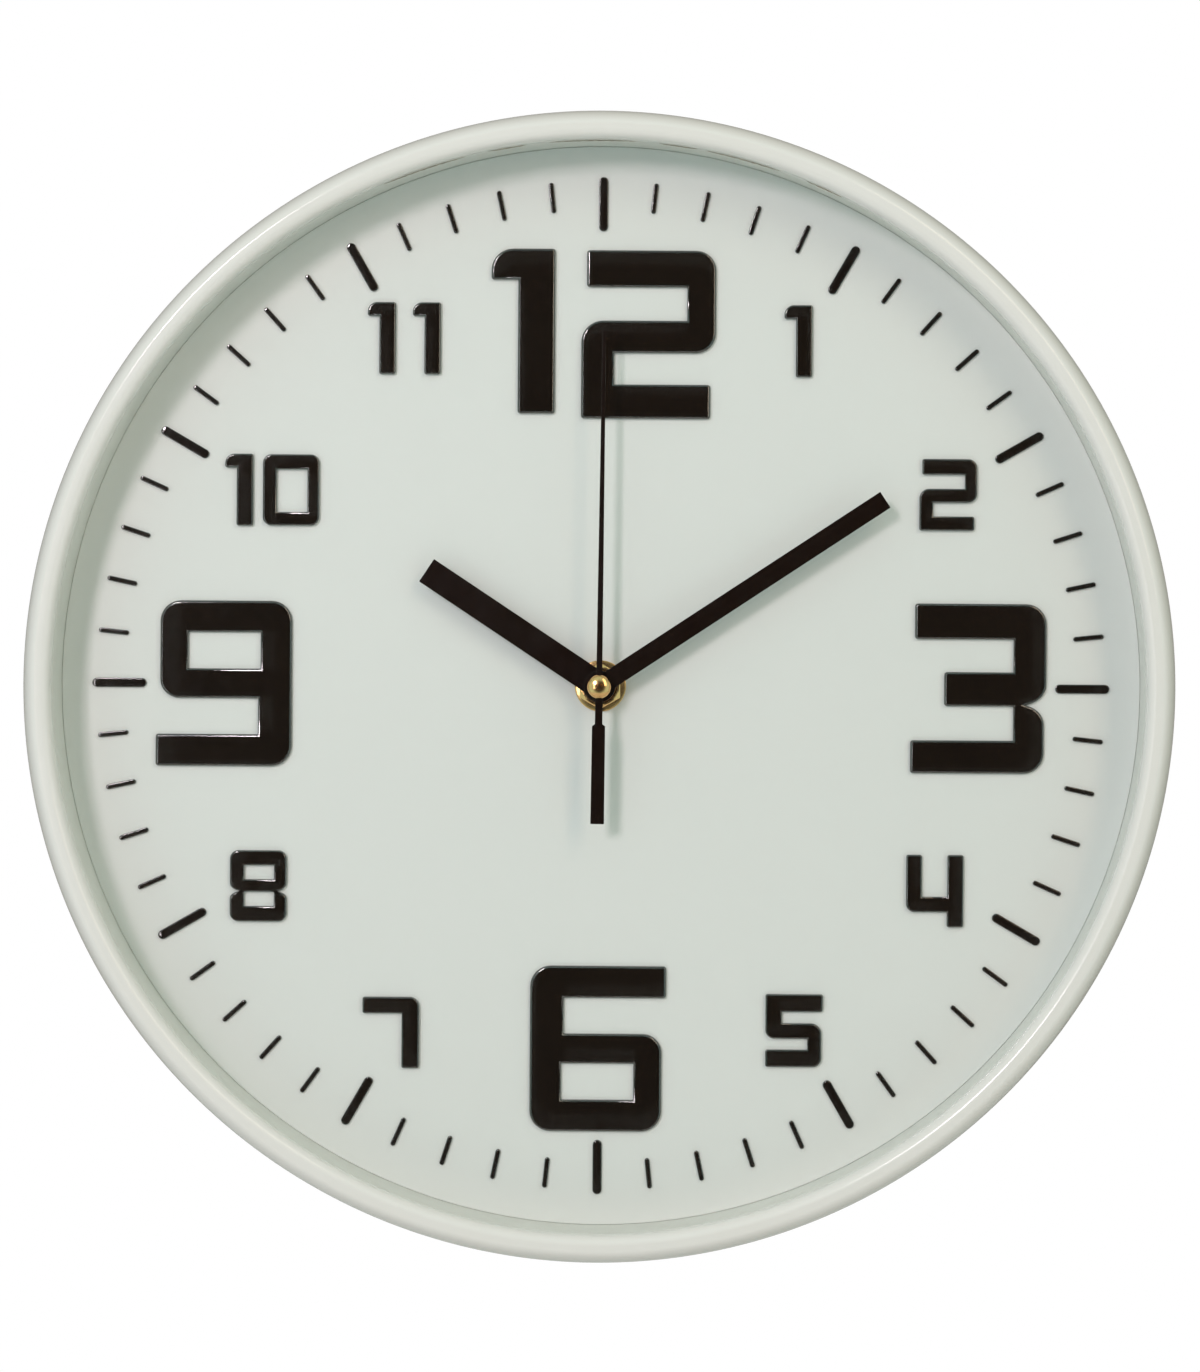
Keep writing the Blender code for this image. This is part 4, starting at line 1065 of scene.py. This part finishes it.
def build_rear_shell():
    outline, hollow = shell_outlines()
    back = depths("movement_rear_case")[0]
    front = REAR_CASE_FRONT
    long, low, high, floor = BAY
    trough = rectangle(-long - BAY_WALL, long + BAY_WALL, low - BAY_WALL, high + BAY_WALL, 0.5)
    names = ("second_turn", "third_turn", "intermediate_turn", "rotor_turn")
    bearings = [axis_of(joint) for joint in names]
    shell = cut(
        plate(outline, back, front, edge=0.0, back_edge=0.8),
        plate(hollow, back + 1.0, front + 1, edge=0.0),
    )
    shell = union(
        shell,
        plate(trough, back + 0.4, floor + BAY_WALL, edge=0.3),
        plates([circle(1.5, 24, axis) for axis in bearings], back + 0.6, 4.3, edge=0.0),
    )
    knob_axis = axis_of("setting_turn")
    groove = moved(rectangle(-20.0, 20.0, -0.25, 0.25), 0, (0.0, -9.6))
    shell = cut(
        shell,
        plate(rectangle(-long, long, low, high, 0.4), back - 1, floor, edge=0.0),
        plates([circle(0.7, 16, axis) for axis in bearings], 3.8, 5.0, edge=0.0),
        plate(circle(1.4, 32, knob_axis), back - 1, front, edge=0.0),
        plate(groove, back - 0.5, back + 0.25, edge=0.0),
        plate(rectangle(-22.0, 8.0, 15.0, 24.0, 1.0), back - 0.5, back + 0.2, edge=0.0),
        plate(circle(6.6, 64, knob_axis), back - 0.5, back + 0.35, edge=0.0),
    )
    stands_for = ["movement_rear_case"]
    piece("movement_rear_shell", shell, MOVEMENT, stands_for=stands_for)


def build_knob():
    """A fluted knob with a slotted recess in its back, on a thin shaft."""
    back, shaft_front = depths("set_knob")
    front = 2.3
    centre = axis_of("setting_turn")
    flutes, flute_depth, grip_radius = 36, 0.17, 5.32
    grip = [
        clock_point(grip_radius + flute_depth * math.cos(math.radians(flutes * a)), a, centre)
        for a in (360 * i / (flutes * 8) for i in range(flutes * 8))
    ]
    slot = moved(rectangle(-2.6, 2.6, -0.4, 0.4), 20, centre)
    knob = union(
        plate(grip, back, front, [circle(3.7, 64, centre)], edge=0.15, back_edge=0.35),
        plate(circle(4.1, 64, centre), back + 0.75, front - 0.2, edge=0.0),
        plate(circle(4.0, 64, centre), back + 0.4, back + 0.9, [slot], edge=0.0),
        plate(circle(1.0, 32, centre), front - 0.5, shaft_front, edge=0.1),
    )
    piece("setting_knob", knob, MOVEMENT, "setting", ["set_knob"])


def build_battery():
    low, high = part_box("battery")
    height = middle("battery")[1]
    depth = sum(depths("battery")) / 2
    radius = (high.z - low.z) / 2 / MM
    profile = [
        (0, -24.9), (radius - 1.6, -24.9), (radius - 1.3, -24.6), (radius - 0.9, -24.6),
        (radius - 0.6, -24.9), (radius - 0.2, -24.8), (radius, -24.4), (radius, 22.8),
        (radius - 0.15, 23.2), (radius - 0.7, 23.5), (radius - 1.4, 23.4), (radius - 1.6, 23.6),
        (3.1, 24.0), (2.75, 24.2), (2.7, 24.9), (2.5, 25.1), (0, 25.1),
    ]
    mesh = along_x(turned(profile, 96), height, depth)
    piece("battery_cell_aa", mesh, BATTERY, "battery_cell", ["battery"])


# ---- Hanger and screws ------------------------------------------------------------------
def screw_mesh(node, head_radius, shank_radius, seat):
    """A pan-head screw with a cross recess, its head towards the wall."""
    back, end = depths(node)
    centre = middle(node)
    front = seat - 0.3
    profile = [
        (0, back), (head_radius * 0.5, back + 0.05), (head_radius * 0.8, back + 0.2),
        (head_radius * 0.95, back + 0.45), (head_radius, back + 0.75), (head_radius, front - 0.1),
        (head_radius - 0.1, front), (shank_radius, front),
    ]
    pitch = 0.8
    for i in range(int((end - 1.6 - front) / pitch)):
        start = front + pitch * i
        profile += [(shank_radius * 0.8, start + 0.3), (shank_radius, start + 0.6)]
    profile += [(shank_radius * 0.8, end - 1.5), (0, end)]
    long, wide = head_radius * 0.55, head_radius * 0.13
    recess = [
        plate(moved(rectangle(-a, a, -b, b), 15, centre), back - 0.5, back + 0.8, edge=0.0)
        for a, b in ((long, wide), (wide, long))
    ]
    return cut(turned(profile, 48, centre), *recess)


def build_screws():
    for i in range(1, 7):
        mesh = screw_mesh(f"cover_screw_{i}", 1.9, 0.9, FLANGE[0])
        piece(f"cover_fixing_{i}", mesh, ZINC, stands_for=[f"cover_screw_{i}"])
    for side in ("left", "right"):
        mesh = screw_mesh(f"hanger_screw_{side}", 2.5, 0.9, depths("hanger_plate")[0])
        stands_for = [f"hanger_screw_{side}"]
        piece(f"hanger_fixing_{side}", mesh, ZINC, stands_for=stands_for)


def build_hanger():
    """A plate with a keyhole: a round entry below a narrow slot that ends in a crown."""
    back, front = depths("hanger_plate")
    width = half_width("hanger_plate")
    low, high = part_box("hanger_plate")
    bottom, top = (low.z - AXIS_Z) / MM, (high.z - AXIS_Z) / MM
    slot_height = -AXIS_Z / MM
    entry_height, entry_radius, slot_radius = slot_height - 7.0, 4.7, 2.2
    meeting = math.degrees(math.asin(slot_radius / entry_radius))
    entry = [
        clock_point(entry_radius, meeting + (360 - 2 * meeting) * i / 48, (0.0, entry_height))
        for i in range(49)
    ]
    crown = [clock_point(slot_radius, -90 + 180 * i / 24, (0.0, slot_height)) for i in range(25)]
    holes = [circle(1.4, 32, middle(f"hanger_screw_{side}")) for side in ("left", "right")]
    outline = rectangle(-width, width, bottom, top, 3.0)
    mesh = plate(outline, back, front, [entry + crown, *holes], 0.12, 0.12)
    piece("hanger_bracket", mesh, ZINC, stands_for=["hanger_plate"])


# ---- Movement's inner pieces: the CAD shapes with their own finishes ----------------------
INNER_FINISHES = {
    "middle_plate": NYLON, "coil_bobbin": NYLON, "intermediate_wheel": NYLON,
    "seconds_wheel": NYLON, "third_wheel": NYLON, "centre_wheel": NYLON,
    "motion_wheel": NYLON, "hour_wheel": NYLON, "coil_winding": COPPER, "rotor": MAGNET,
    "stator": ZINC, "quartz_crystal": ZINC, "battery_contact_positive": ZINC,
    "battery_contact_negative": ZINC, "circuit_board": BOARD, "ic_chip": NUMERAL,
}


def finish_inner_nodes():
    for node, material in INNER_FINISHES.items():
        materials = frame["nodes"][node].data.materials
        materials.clear()
        materials.append(material)


build_rim()
build_glass()
build_painted_lip_shade()
build_pan()
build_dial()
build_numerals()
build_hands()
build_cap()
build_bushing()
build_nut_and_washers()
build_front_shell()
build_rear_shell()
build_knob()
build_battery()
build_screws()
build_hanger()
finish_inner_nodes()
